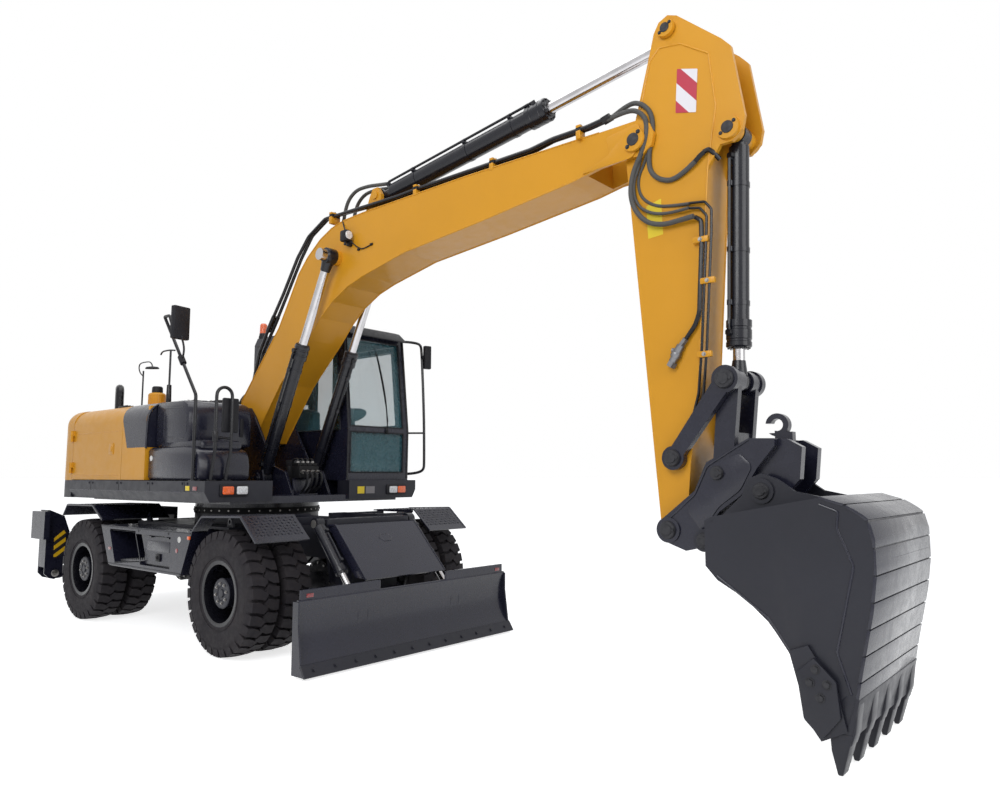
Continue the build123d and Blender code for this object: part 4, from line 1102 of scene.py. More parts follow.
    def running_gear(self) -> None:
        """The bolts of the axle covers and the slew ring, and the axles' hoses."""
        covers = (("front", 1.375, 0.175, (-0.215, 0.095)), ("rear", -1.375, 0.2, (-0.125, 0.205)))
        for name, x, radius, faces in covers:
            shape = Shape()
            for y in faces:
                places = ringed((x, self.axle_z), radius, turns(self.cover_bolts))
                way = (0.0, math.copysign(1.0, y), 0.0)
                shape.bolts([(along, y, up) for along, up in places], way, 0.011, 0.012, washer=False)
            self.put(f"axle_bolts_{name}", shape, Finish.ZINC)
        ring = Shape()
        for index in range(self.ring_bolts):
            out = outward(math.tau * (index + 0.5) / self.ring_bolts)
            ring.bolts(
                [tuple(out * self.ring_radius + Vector((0.0, 0.0, 1.1998)))], UP, 0.011, 0.012, washer=False)
            ring.rod(out * 0.648 + Vector((0.0, 0.0, 1.17)), out * 0.656 + Vector((0.0, 0.0, 1.17)), 0.009, 6)
        self.put("slew_ring_bolts", ring, Finish.ZINC)
        lines = Shape()
        for side in HANDS:
            lines.pipe(
                [(1.25, side * 0.12, 0.83), (1.29, side * 0.2, 0.76), (1.33, side * 0.4, 0.65),
                (1.345, side * 0.55, 0.645)], 0.011)
            lines.pipe(
                [(-1.15, side * 0.14, 0.84), (-1.2, side * 0.25, 0.8), (-1.25, side * 0.45, 0.67),
                (-1.29, side * 0.7, 0.61)], 0.011)
        self.put("axle_hoses", lines, Finish.RUBBER)

    def build(self) -> None:
        """Dresses the carriage and adds its trim."""
        self.dress(Finish.CHARCOAL, "fenders", "side_boxes", "toolbox_door", "blade_cover")
        self.dress(Finish.CHARCOAL_SATIN, "chassis_frame", "carriage_deck")
        self.dress(Finish.CAST, "front_axle", "rear_axle", "knuckle_left", "knuckle_right")
        self.dress(Finish.DEEP, "slew_ring")
        self.fenders()
        self.side_boxes()
        self.markers()
        self.cover()
        self.running_gear()


# ---- blade and outriggers ---------------------------------------------------------------------------
@dataclass
class DozerBlade(Trim):
    """The blade's cutting edge, ribs and reflectors, and its two cylinders."""

    home: ClassVar[str] = "blade"
    half: float = 1.222
    edge_bolts: int = 12
    cylinder_y: float = 0.545

    def edge(self) -> None:
        """The bolted cutting edge along the blade's foot."""
        self.put(
            "cutting_edge", Shape().plate([(2.5245, 0.088), (2.5155, 0.088), (2.5165, 0.108), (2.5265, 0.108),
            (2.5825, 0.024), (2.5725, 0.018), (2.5625, 0.018), (2.5635, 0.026)][::-1], Face.SIDE, -self.half,
            self.half), Finish.CHARCOAL_SATIN)
        bolts = Shape()
        way = Vector((0.84, 0.0, 0.545)).normalized()
        for index in range(self.edge_bolts):
            y = -1.12 + index * 2.24 / (self.edge_bolts - 1)
            bolts.bolts([(2.5545, y, 0.066)], way, 0.012, 0.011)
        self.put("edge_bolts", bolts, Finish.CHARCOAL_SATIN)

    def board(self) -> None:
        """Ribs behind the board, a rolled top lip with its posts, the reflectors and the weld beads."""
        ribs = Shape()
        for y in (-1.1, -0.86, -0.69, 0.69, 0.86, 1.1):
            ribs.plate(
                [(2.442, 0.54), (2.422, 0.5), (2.397, 0.33), (2.41, 0.13), (2.47, 0.09), (2.43, 0.33)],
                Face.SIDE, y - 0.007, y + 0.007, 0.0)
        for z in (0.3, 0.45):
            for low, high in ((-self.half + 0.02, -0.64), (-0.45, 0.45), (0.64, self.half - 0.02)):
                ribs.block((2.408, low, z - 0.006), (2.427, high, z + 0.006))
        self.put("blade_ribs", ribs, Finish.CHARCOAL)
        lip = Shape().run([(2.456, -self.half + 0.01, 0.567), (2.456, self.half - 0.01, 0.567)], 0.0145)
        for y in (-0.4, -1.18, 0.4, 1.18):
            lip.rod((2.452, y, 0.56), (2.452, y, 0.652), 0.012)
        self.put("blade_lip", lip, Finish.CHARCOAL)
        for name, side in SIDES:
            self.put(
                f"blade_reflector_{name}",
                Shape().block((2.4645, side * 1.14, 0.592), (2.4685, side * 1.075, 0.622), 0.003), Finish.RED)
        welds = Shape()
        for side in HANDS:
            for y in (side * 0.285, side * 0.345):
                welds.run([(2.424, y, 0.2), (2.424, y, 0.42)], 0.006)
        self.put("blade_welds", welds, Finish.CHARCOAL)

    def cylinders(self) -> None:
        """Glands, wiper rings, pin heads and hoses of the blade's cylinders."""
        base, eye = self.yard.pivot("blade_barrel_tilt"), Vector((2.355, 0.0, 0.458))
        way = Vector((eye.x - base.x, 0.0, eye.z - base.z)).normalized()
        glands, ports, pins = Shape(), Shape(), Shape()
        for side in HANDS:
            y = side * self.cylinder_y
            foot = Vector((base.x, y, base.z))

            def along(distance: float, out: float = 0.0) -> Point:
                """A place on the cylinder's line, or beside it."""
                return tuple(foot + way * distance + Vector((-way.z, 0.0, way.x)) * out)

            glands.lathe(
                [(0.47, 0.0305), (0.47, 0.056), (0.515, 0.058), (0.53, 0.056), (0.54, 0.043), (0.54, 0.0305)],
                tuple(foot), tuple(way), 40)
            for distance in (0.12, 0.44):
                ports.rod(along(distance, 0.042), along(distance, 0.076), 0.015, 20)
            ports.pipe(
                [along(0.43, 0.062), along(0.38, 0.066), along(0.2, 0.066), along(0.15, 0.062)], 0.0075)
            for sign in HANDS:
                pins.rod((base.x, y + sign * 0.044, base.z), (base.x, y + sign * 0.0495, base.z), 0.036, 28)
                pins.rod((eye.x, y + sign * 0.064, eye.z), (eye.x, y + sign * 0.07, eye.z), 0.034, 28)
        self.put("blade_glands", glands, Finish.RAM, "blade_barrels")
        self.put("blade_ports", ports, Finish.RAM, "blade_barrels")
        self.put("blade_pin_heads", pins, Finish.ZINC, "carriage")

    def build(self) -> None:
        """Dresses the blade and its cylinders."""
        self.dress(Finish.CHARCOAL, "dozer_blade")
        self.dress(Finish.RAM, "blade_cylinders")
        self.dress(Finish.CHROME, "blade_rods")
        self.edge()
        self.board()
        self.cylinders()


@dataclass
class Outriggers(Trim):
    """The two rear legs with their striped faces, pads and cylinders."""

    home: ClassVar[str] = "carriage"
    axis_x: float = -2.490
    half_width: float = 0.100

    def build(self) -> None:
        """Dresses the legs, rams and crossmember and adds their trim."""
        self.dress(Finish.CHARCOAL, "outrigger_frame", "outrigger_leg_left", "outrigger_leg_right")
        self.dress(Finish.RAM, "outrigger_cylinder_left", "outrigger_cylinder_right")
        self.dress(Finish.CHROME, "outrigger_rod_left", "outrigger_rod_right")
        for name, side in SIDES:
            leg = f"outrigger_leg_{name}"
            face = [
                (1.154, 0.8), (1.051, 0.888), (1.027, 0.852), (1.028, 0.664), (1.067, 0.587), (1.15, 0.582)]
            outline = [(side * y, z) for y, z in face]
            for end in HANDS:
                x = self.axis_x + end * self.half_width
                self.put(
                    f"leg_stripes_{name}_{'front' if end > 0 else 'back'}",
                    Shape().plate(outline, Face.CROSS, x - end * 0.001, x + end * 0.0018), Finish.LEG_STRIPES,
                    leg)
            ribs = Shape()
            for x in (self.axis_x - 0.13, self.axis_x + 0.13):
                ribs.plate(
                    [(side * 1.24, 0.82), (side * 1.24, 1.085), (side * 1.216, 1.06), (side * 1.216, 0.85)],
                    Face.CROSS, x - 0.006, x + 0.006)
            ribs.bolts(
                [(self.axis_x + dx, side * 1.2848, z) for dx in (-0.06, 0.06) for z in (0.89, 1.02)],
                (0.0, side, 0.0), 0.012, 0.011)
            self.put(f"pad_ribs_{name}", ribs, Finish.CHARCOAL, leg)
            pins = Shape()
            for end in HANDS:
                x = self.axis_x + end * 0.118
                pins.rod(
                    (x, side * 1.13, 0.4), (x + end * 0.008, side * 1.13, 0.4), 0.042, 30, round_by=0.002)
                pins.bolts([(x + end * 0.006, side * 1.13, 0.4)], (end, 0.0, 0.0), 0.013, 0.012)
            self.put(f"leg_pin_heads_{name}", pins, Finish.ZINC)
            base, top = Vector((self.axis_x, side * 0.3, 0.8)), Vector((self.axis_x, side * 1.105, 0.79))
            way = (top - base).normalized()
            self.put(
                f"outrigger_gland_{name}", Shape().lathe([(0.655, 0.026), (0.655, 0.049), (0.7, 0.051),
                (0.72, 0.048), (0.735, 0.036), (0.735, 0.026)], tuple(base), tuple(way), 36), Finish.RAM,
                f"outrigger_barrel_{name}")
        lamps = Shape()
        for side in HANDS:
            lamps.block((-2.5405, side * 0.62, 0.62), (-2.552, side * 0.84, 0.7), 0.006)
        self.put("tail_lamps", lamps, Finish.RED)
        self.put(
            "outrigger_welds", Shape().run([(-2.5395, -0.9, 0.553), (-2.5395, 0.9, 0.553)], 0.005),
            Finish.CHARCOAL)


# ---- upper deck, tanks and hood ---------------------------------------------------------------------
@dataclass
class UpperDeck(Trim):
    """The platform's skirts, its lamp clusters, the valve block and the boom foot's trim."""

    front: float = 1.131

    def lamps(self) -> None:
        """Indicator and work lamps in their bezels, with the plates beside them."""
        clusters = (
            ("right", -1.125, -0.845, 1.332, 1.448, ((-1.045, Finish.AMBER), (-0.905, Finish.CLEAR))),
            ("left", 0.83, 1.12, 1.322, 1.428, ((0.925, Finish.CLEAR), (1.045, Finish.AMBER))))
        for name, low, high, bottom, top, lenses in clusters:
            self.put(
                f"lamp_bezel_{name}", Shape().plate(oblong(low, bottom, high, top), Face.CROSS,
                self.front - 0.002, self.front + 0.012, 0.004, 0.02), Finish.PLASTIC)
            middle = (bottom + top) / 2
            for index, (y, finish) in enumerate(lenses):
                self.put(
                    f"platform_lens_{name}_{index}", Shape().plate(oblong(y - 0.055, middle - 0.036,
                    y + 0.055, middle + 0.036), Face.CROSS, self.front + 0.01, self.front + 0.02, 0.005,
                    0.014), finish)
        decals = (("a", 0.44, 0.53, Finish.YELLOW_DECAL), ("b", 0.55, 0.67, Finish.GREY_DECAL))
        for name, low, high, finish in decals:
            self.put(
                f"platform_plate_{name}",
                Shape().plate(oblong(low, 1.338, high, 1.412), Face.CROSS, self.front, self.front + 0.002),
                finish)

    def skirts(self) -> None:
        """Panel seams, bolts, the lower fold, side reflectors and markers."""
        for name, side in SIDES:
            seams, bolts = Shape(), Shape()
            for x in (-1.2, -0.54, 0.12, 0.78):
                seams.block((x - 0.002, side * 1.2652, 1.375), (x + 0.002, side * 1.2662, 1.472))
                bolts.bolts(
                    [(x + dx, side * 1.2648, 1.45) for dx in (-0.045, 0.045)], (0.0, side, 0.0), 0.009, 0.008)
            self.put(f"skirt_seams_{name}", seams, Finish.DEEP)
            self.put(f"skirt_bolts_{name}", bolts, Finish.CHARCOAL_SATIN)
            self.put(
                f"skirt_fold_{name}",
                Shape().run([(1.128, side * 1.2635, 1.373), (-1.74, side * 1.2635, 1.373)], 0.004),
                Finish.CHARCOAL)
            self.put(
                f"skirt_reflector_{name}",
                Shape().block((0.93, side * 1.265, 1.39), (1.0, side * 1.2695, 1.425), 0.002), Finish.RED)
            self.put(
                f"skirt_marker_{name}",
                Shape().block((0.8, side * 1.265, 1.388), (0.87, side * 1.2685, 1.43), 0.002),
                Finish.YELLOW_DECAL)

    def machinery(self) -> None:
        """The swing motor, the valve block and its fittings between the boom's cylinders."""
        rows = (-0.162, -0.104, -0.046, 0.012)
        block = Shape().block((0.86, -0.192, 1.5), (1.0, 0.042, 1.62), 0.006)
        for y in rows:
            block.block((0.885, y - 0.027, 1.62), (0.975, y + 0.027, 1.65), 0.004)
        self.put("valve_block", block, Finish.DEEP)
        post = Shape().block((0.87, -0.185, 1.331), (0.89, 0.035, 1.505), 0.003)
        post.block((0.87, -0.185, 1.331), (1.0, 0.035, 1.343), 0.002)
        self.put("valve_bracket", post, Finish.CHARCOAL)
        fittings = Shape()
        for y in rows:
            fittings.rod((1.0, y, 1.56), (1.022, y, 1.56), 0.02, 6)
            fittings.rod((1.02, y, 1.56), (1.045, y, 1.56), 0.014, 20)
            fittings.rod((0.93, y, 1.65), (0.93, y, 1.668), 0.016, 6)
        self.put("valve_fittings", fittings, Finish.ZINC)
        motor = Shape().rod((0.66, 0.0, 1.3302), (0.66, 0.0, 1.5), 0.11, 36, round_by=0.01)
        motor.rod((0.66, 0.0, 1.5), (0.66, 0.0, 1.62), 0.085, 36, round_by=0.01)
        motor.block((0.58, -0.07, 1.6), (0.74, 0.07, 1.68), 0.01)
        self.put("swing_motor", motor, Finish.CAST)
        hoses = Shape()
        for y in rows:
            hoses.pipe(
                [(1.04, y, 1.56), (1.075, y + 0.004, 1.555), (1.085, y + 0.01, 1.5), (1.06, y + 0.01, 1.42),
                (1.0, y * 0.9, 1.38), (0.94, y * 0.8, 1.335)], 0.0125)
            hoses.pipe(
                [(0.93, y, 1.66), (0.93, y, 1.686), (0.9, y, 1.69), (0.845, y, 1.68), (0.815, y, 1.58),
                (0.81, y * 0.9, 1.45), (0.81, y * 0.9, 1.335)], 0.0115)
        self.put("valve_hoses", hoses, Finish.RUBBER)

    def boom_foot(self) -> None:
        """Pin heads, keeper plates and weld beads on the boom's cheeks."""
        foot, ram = self.yard.pivot("boom_lift"), self.yard.pivot("boom_barrel_tilt")
        pins = Shape()
        for side in HANDS:
            for place, y, radius in ((foot, 0.246, 0.068), (ram, 0.3805, 0.055)):
                pins.rod(
                    (place.x, side * (y - 0.01), place.z), (place.x, side * (y + 0.012), place.z), radius, 36,
                    round_by=0.003)
                pins.block(
                    (place.x - 0.09, side * (y + 0.004), place.z - 0.018),
                    (place.x + 0.03, side * (y + 0.016), place.z + 0.018), 0.003)
                pins.bolts([(place.x - 0.075, side * (y + 0.014), place.z)], (0.0, side, 0.0), 0.012, 0.012)
        self.put("boom_foot_pins", pins, Finish.CHARCOAL)
        welds = Shape()
        for side in HANDS:
            welds.run([(-0.33, side * 0.2365, 1.331), (0.94, side * 0.2365, 1.331)], 0.008)
            welds.run(
                [(0.94, side * 0.2335, 1.35), (0.82, side * 0.2335, 1.557), (0.62, side * 0.2335, 1.617),
                (0.25, side * 0.2335, 2.137)], 0.005)
        self.put("cheek_welds", welds, Finish.CHARCOAL)

    def build(self) -> None:
        """Dresses the platform and adds its trim."""
        self.dress(Finish.CHARCOAL, "upper_frame")
        self.dress(Finish.CHARCOAL_SATIN, "skirts")
        self.dress(Finish.DEEP, "engine_block")
        self.lamps()
        self.skirts()
        self.machinery()
        self.boom_foot()


@dataclass
class Hood(Trim):
    """The yellow engine housing: seams, louvres, latches, exhaust and intake."""

    side_y: float = 1.250
    top_z: float = 2.250
    louvres: int = 11
    lid_louvres: int = 9
    vent_fins: int = 9
    intake_ribs: int = 16
    tail_radius: float = 2.3815
    seam_steps: int = 24
    seam_turn: float = 26.0
    seam_z: float = 1.6
    lamp_turn: float = 19.0
    stack_foot: float = 2.2503
    shoulder: float = 0.1912
    exhaust: Flat = (-1.45, -0.90)
    intake: Flat = (-0.85, -0.76)

    def doors(self) -> None:
        """Pressed swages, louvre blades and paddle latches on the rear doors."""
        doors = (("right", -1.0, -1.739, -0.546), ("left", 1.0, -1.739, -0.81))
        for name, side, back, front in doors:
            body = f"rear_door_{name}"
            y = side * self.side_y
            rim = Shape()
            for z in (1.53, 1.98):
                rim.run([(back + 0.06, y - side * 0.003, z), (front - 0.06, y - side * 0.003, z)], 0.006)
            self.put(f"door_swages_{name}", rim, Finish.YELLOW, body)
            if name == "left":
                grille = Shape()
                for index in range(self.louvres):
                    z = 1.6 + index * 0.031
                    grille.block(
                        (back + 0.15, y - 0.004, z - 0.003), (back + 0.52, y + 0.006, z + 0.012), 0.003,
                        Matrix.Rotation(0.5, 3, "X"))
                self.put("door_louvres", grille, Finish.YELLOW, body)
                # A thin deep-black sheet behind the louvre blades: painted shade in the openings between
                # them.
                self.put(
                    "door_slot_shade",
                    Shape().block((back + 0.155, y + 0.0002, 1.59), (back + 0.515, y + 0.0008, 1.915)),
                    Finish.DEEP, body)
            middle = front - 0.235
            self.put(
                f"latch_dish_{name}", Shape().plate(oblong(middle - 0.055, 1.74, middle + 0.055, 1.86),
                Face.SIDE, y, y + side * 0.006, 0.003, 0.02), Finish.YELLOW, body)
            self.put(
                f"door_latch_{name}", Shape().block((middle - 0.03, y + side * 0.0055, 1.77),
                (middle + 0.03, y + side * 0.011, 1.825), 0.004), Finish.YELLOW, body)
            self.put(
                f"door_seal_{name}",
                Shape().block((front + 0.0005, side * 1.2, 1.49), (front + 0.0055, side * 1.2465, 2.05)),
                Finish.PLASTIC)

    def panels(self) -> None:
        """The shoulder band, the hood's front frame, the grip strips and what stands on the deck."""
        band = Shape()
        section = [(-1.2512, 1.8), (-1.2512, 1.93), (-1.2512, 2.06)]
        section += [
            (-1.06 - self.shoulder * math.cos(a), 2.06 + self.shoulder * math.sin(a))
            for a in (math.radians(10.0 * step) for step in range(1, 10))]
        verts = [band.bm.verts.new((-0.0415, y, z)) for y, z in section]
        edges = [band.bm.edges.new(pair) for pair in zip(verts, verts[1:])]
        grown = bmesh.ops.extrude_edge_only(band.bm, edges=edges)["geom"]
        for vert in verts_in(grown):
            vert.co.x = -0.43 - (vert.co.z - 1.8) * 0.4
        bmesh.ops.recalc_face_normals(band.bm, faces=band.bm.faces)
        if sum(face.normal.y for face in band.bm.faces) > 0:
            bmesh.ops.reverse_faces(band.bm, faces=band.bm.faces)
        bmesh.ops.solidify(band.bm, geom=band.bm.faces[:], thickness=0.002)
        self.put("shoulder_band", band, Finish.CHARCOAL)
        self.put(
            "hood_front_frame", Shape().pipe([(-0.037, -1.2455, 1.79), (-0.037, -1.2455, 2.07),
            (-0.037, -1.215, 2.165), (-0.037, -1.14, 2.228), (-0.037, -1.05, 2.2465), (-0.037, -0.5, 2.2465)],
            0.011), Finish.CHARCOAL)
        self.put(
            "hood_front_face", Shape().plate([(-1.235, 1.8), (-0.4, 1.8), (-0.4, 2.236), (-1.06, 2.236),
            (-1.16, 2.205), (-1.215, 2.13), (-1.235, 2.06)], Face.CROSS, -0.0395, -0.0365), Finish.CHARCOAL)
        grips = Shape()
        for x, low, high in (
                (-0.44, -1.0, -0.6), (-0.3, -1.0, -0.6), (-0.16, -1.0, -0.6), (-0.6, -1.0, -0.62),
                (-1.2, -1.0, -0.62), (-1.05, -1.0, -0.62)):
            grips.block((x - 0.03, low, self.top_z - 0.0005), (x + 0.03, high, self.top_z + 0.0025), 0.001)
        for row in (-0.4, 0.65):
            grips.block((-1.6, row - 0.035, 2.2795), (-0.92, row + 0.035, 2.2825), 0.001)
        self.put("grip_strips", grips, Finish.DEEP)
        flanges = Shape()
        for x, y in ((-0.12, -0.93), (-0.12, -0.7), (-0.3, -0.82), (-0.61, -0.75)):
            flanges.lathe(
                [(0.0, 0.0), (0.0, 0.06), (0.01, 0.06), (0.014, 0.045), (0.02, 0.04), (0.02, 0.0)],
                (x, y, 2.25), UP, 28, False)
        self.put("deck_flanges", flanges, Finish.YELLOW)
        self.put(
            "deck_cover", Shape().plate([(-0.5, -0.45), (-0.1, -0.45), (-0.1, -0.25), (-0.24, -0.25),
            (-0.24, 0.3), (-0.5, 0.3)], Face.PLAN, 2.2505, 2.33, 0.015, 0.03), Finish.PLASTIC)
        vent = Shape()
        for index in range(self.vent_fins):
            vent.block(
                (-1.3, -0.98 + index * 0.03, 2.2505),
                (-1.08, -0.965 + index * 0.03, 2.292 - 0.0006 * index ** 2), 0.003)
        vent.block((-1.31, -0.995, 2.2503), (-1.07, -0.715, 2.262), 0.004)
        self.put("deck_vent", vent, Finish.PLASTIC)

    def lid(self) -> None:
        """The engine lid's louvres, a thin sheet of painted shade for the slots under them, its handle and
        its rim.
        """
        slot_shade = Shape()
        blades = Shape()
        for bank in (-0.2, 0.12, 0.44):
            for index in range(self.lid_louvres):
                x = -1.53 + index * 0.05
                blades.block(
                    (x - 0.012, bank - 0.12, 2.276), (x + 0.012, bank + 0.12, 2.288), 0.003,
                    Matrix.Rotation(0.35, 3, "Y"))
            # A thin deep-black sheet under each bank: painted shade in the slots.
            slot_shade.block((-1.56, bank - 0.115, 2.2801), (-1.1, bank + 0.115, 2.2808))
        self.put("lid_louvres", blades, Finish.YELLOW, "engine_lid")
        self.put("lid_slot_shade", slot_shade, Finish.DEEP, "engine_lid")
        self.put(
            "lid_handle", Shape().run([(-1.62, 0.02, 2.278), (-1.62, 0.02, 2.315), (-1.62, 0.22, 2.315),
            (-1.62, 0.22, 2.278)], 0.008), Finish.PLASTIC, "engine_lid")
        rim = Shape().outline([(x, y, 2.277) for x, y in oblong(-1.65, -0.51, -0.862, 0.75)], 0.006)
        self.put("lid_rim", rim, Finish.YELLOW, "engine_lid")

    def stacks(self) -> None:
        """The exhaust's rolled elbow and the intake's cap."""
        x, y = self.exhaust
        self.dress(Finish.STEEL, "hood_stacks")
        pipe = Shape().lathe(
            [(0.0, 0.0), (0.0, 0.072), (0.012, 0.074), (0.02, 0.056), (0.02, 0.0)], (x, y, self.stack_foot),
            UP, 40, False)
        pipe.pipe(
            [(x, y, 2.255), (x, y, 2.33), (x + 0.002, y - 0.002, 2.4), (x - 0.01, y + 0.004, 2.49),
            (x - 0.075, y + 0.03, 2.52), (x - 0.11, y + 0.045, 2.52)], 0.046)
        self.put("exhaust_pipe", pipe, Finish.BLACK, replaces=("hood_stacks",))
        x, y = self.intake
        self.put(
            "intake_bowl", Shape().lathe([(0.0, 0.0), (0.0, 0.07), (0.03, 0.072), (0.05, 0.088),
            (0.155, 0.09), (0.17, 0.08), (0.18, 0.05), (0.19, 0.045), (0.19, 0.0)], (x, y, self.stack_foot),
            UP, 48, False), Finish.YELLOW)
        cap = Shape().lathe(
            [(0.178, 0.0), (0.178, 0.056), (0.19, 0.0575), (0.235, 0.055), (0.247, 0.045), (0.249, 0.0)],
            (x, y, self.stack_foot), UP, 40, False)
        fins = Shape()
        for angle in turns(self.intake_ribs):
            out = outward(angle)
            fins.run([Vector((x, y, 2.3)) + out * 0.0885, Vector((x, y, 2.4)) + out * 0.0885], 0.0025)
        self.put("intake_cap", cap, Finish.PLASTIC)
        self.put("intake_ribs", fins, Finish.YELLOW)

    def tail(self) -> None:
        """The counterweight's seam, lamps, lifting eyes and grille frame."""
        first, step = 180.0 - self.seam_turn, 2 * self.seam_turn / self.seam_steps
        angles = [math.radians(first + index * step) for index in range(self.seam_steps + 1)]
        seam = [(x, y, self.seam_z) for x, y in ringed((0.0, 0.0), self.tail_radius, angles)]
        self.put("counterweight_seam", Shape().pipe(seam, 0.004), Finish.DEEP)
        for name, side in SIDES:
            out = outward(math.radians(180.0 - side * self.lamp_turn))
            middle = out * 2.379 + Vector((0.0, 0.0, 1.72))
            self.put(
                f"tail_lamp_{name}", Shape().block(middle - Vector((0.007, 0.09, 0.045)),
                middle + Vector((0.007, 0.09, 0.045)), 0.006, Matrix.Rotation(math.atan2(out.y, out.x), 3,
                "Z")), Finish.RED)
            eye = Shape().lathe(
                [(0.008, 0.022), (0.012, 0.03), (0.0, 0.045), (-0.012, 0.03), (-0.008, 0.022)],
                (-2.0, side * 0.62, 2.2), (0.0, 1.0, 0.0), 24)
            eye.rod((-2.0, side * 0.62, 2.14), (-2.0, side * 0.62, 2.165), 0.02)
            self.put(f"tail_eye_{name}", eye, Finish.YELLOW)
        self.put(
            "tail_grille_frame",
            Shape().plate(oblong(-0.5, 1.78, 0.5, 2.05), Face.CROSS, -2.3435, -2.3815, 0.0, 0.05),
            Finish.YELLOW)

    def build(self) -> None:
        """Dresses the housing and adds its trim."""
        self.dress(
            Finish.YELLOW, "hood_frame", "engine_hood", "rear_door_left", "rear_door_right", "counterweight")
        self.doors()
        self.panels()
        self.lid()
        self.stacks()
        self.tail()


@dataclass
class Tanks(Trim):
    """Fuel and hydraulic tanks with their caps, gauge and treads."""

    treads: int = 8

    def build(self) -> None:
        """Dresses the tanks and adds their fittings."""
        self.dress(Finish.CHARCOAL, "fuel_tank", "hydraulic_tank")
        shell = Shape().plate(
            [(-0.033, 1.476), (0.94, 1.476), (0.94, 1.62), (0.92, 1.71), (0.87, 1.762), (0.78, 1.787),
            (0.66, 1.793), (-0.033, 1.793)], Face.SIDE, -1.228, -0.7, 0.045)
        shell.block((0.1, -1.17, 1.76), (0.86, -0.74, 1.85), 0.035)
        self.put("fuel_tank_shell", shell, Finish.CHARCOAL, smooth=40.0, replaces=("fuel_tank",))
        self.put(
            "hydraulic_tank_shell", Shape().plate([(-0.033, 1.794), (0.6, 1.794), (0.6, 2.12), (0.56, 2.205),
            (0.48, 2.24), (-0.033, 2.24)], Face.SIDE, -1.16, -0.48, 0.04), Finish.CHARCOAL, smooth=40.0,
            replaces=("hydraulic_tank",))
        corners = [(0.14, 1.9), (0.52, 1.87), (0.56, 1.93), (0.56, 2.1), (0.5, 2.17), (0.14, 2.17)]
        swage = Shape().outline([(x, -1.1585, z) for x, z in corners], 0.005)
        self.put("tank_swage", swage, Finish.CHARCOAL)
        cap = Shape().lathe(
            [(0.0, 0.0), (0.0, 0.06), (0.02, 0.06), (0.022, 0.052), (0.05, 0.05), (0.058, 0.042),
            (0.058, 0.0)], (0.32, -1.0, 1.849), UP, 36, False)
        cap.block((0.29, -1.008, 1.9), (0.35, -0.992, 1.919), 0.004)
        self.put("fuel_cap", cap, Finish.PLASTIC)
        self.put(
            "tank_lid",
            Shape().plate(oblong(0.12, -1.02, 0.42, -0.62), Face.PLAN, 2.2402, 2.252, 0.003, 0.04),
            Finish.CHARCOAL)
        bolts = Shape().bolts([(x, y, 2.2515) for x in (0.15, 0.27, 0.39) for y in (-0.99, -0.65)], UP, 0.012)
        bolts.bolts([(0.15, -0.82, 2.2515), (0.39, -0.82, 2.2515)], UP, 0.012)
        self.put("tank_bolts", bolts, Finish.ZINC)
        self.put(
            "tank_breather", Shape().rod((0.05, -0.7, 2.2398), (0.05, -0.7, 2.29), 0.03, 28, round_by=0.006),
            Finish.PLASTIC)
        self.put(
            "sight_gauge", Shape().block((0.5996, -0.62, 1.9), (0.61, -0.585, 2.08), 0.003), Finish.PLASTIC)
        treads = Shape()
        for row in range(self.treads):
            treads.block((0.5, -1.12 + row * 0.045, 1.8495), (0.8, -1.1 + row * 0.045, 1.853), 0.001)
        self.put("tank_treads", treads, Finish.DEEP)
        self.put(
            "tank_sticker", Shape().rod((0.05, -1.2275, 1.69), (0.05, -1.2295, 1.69), 0.026, 32),
            Finish.PALE_DECAL)


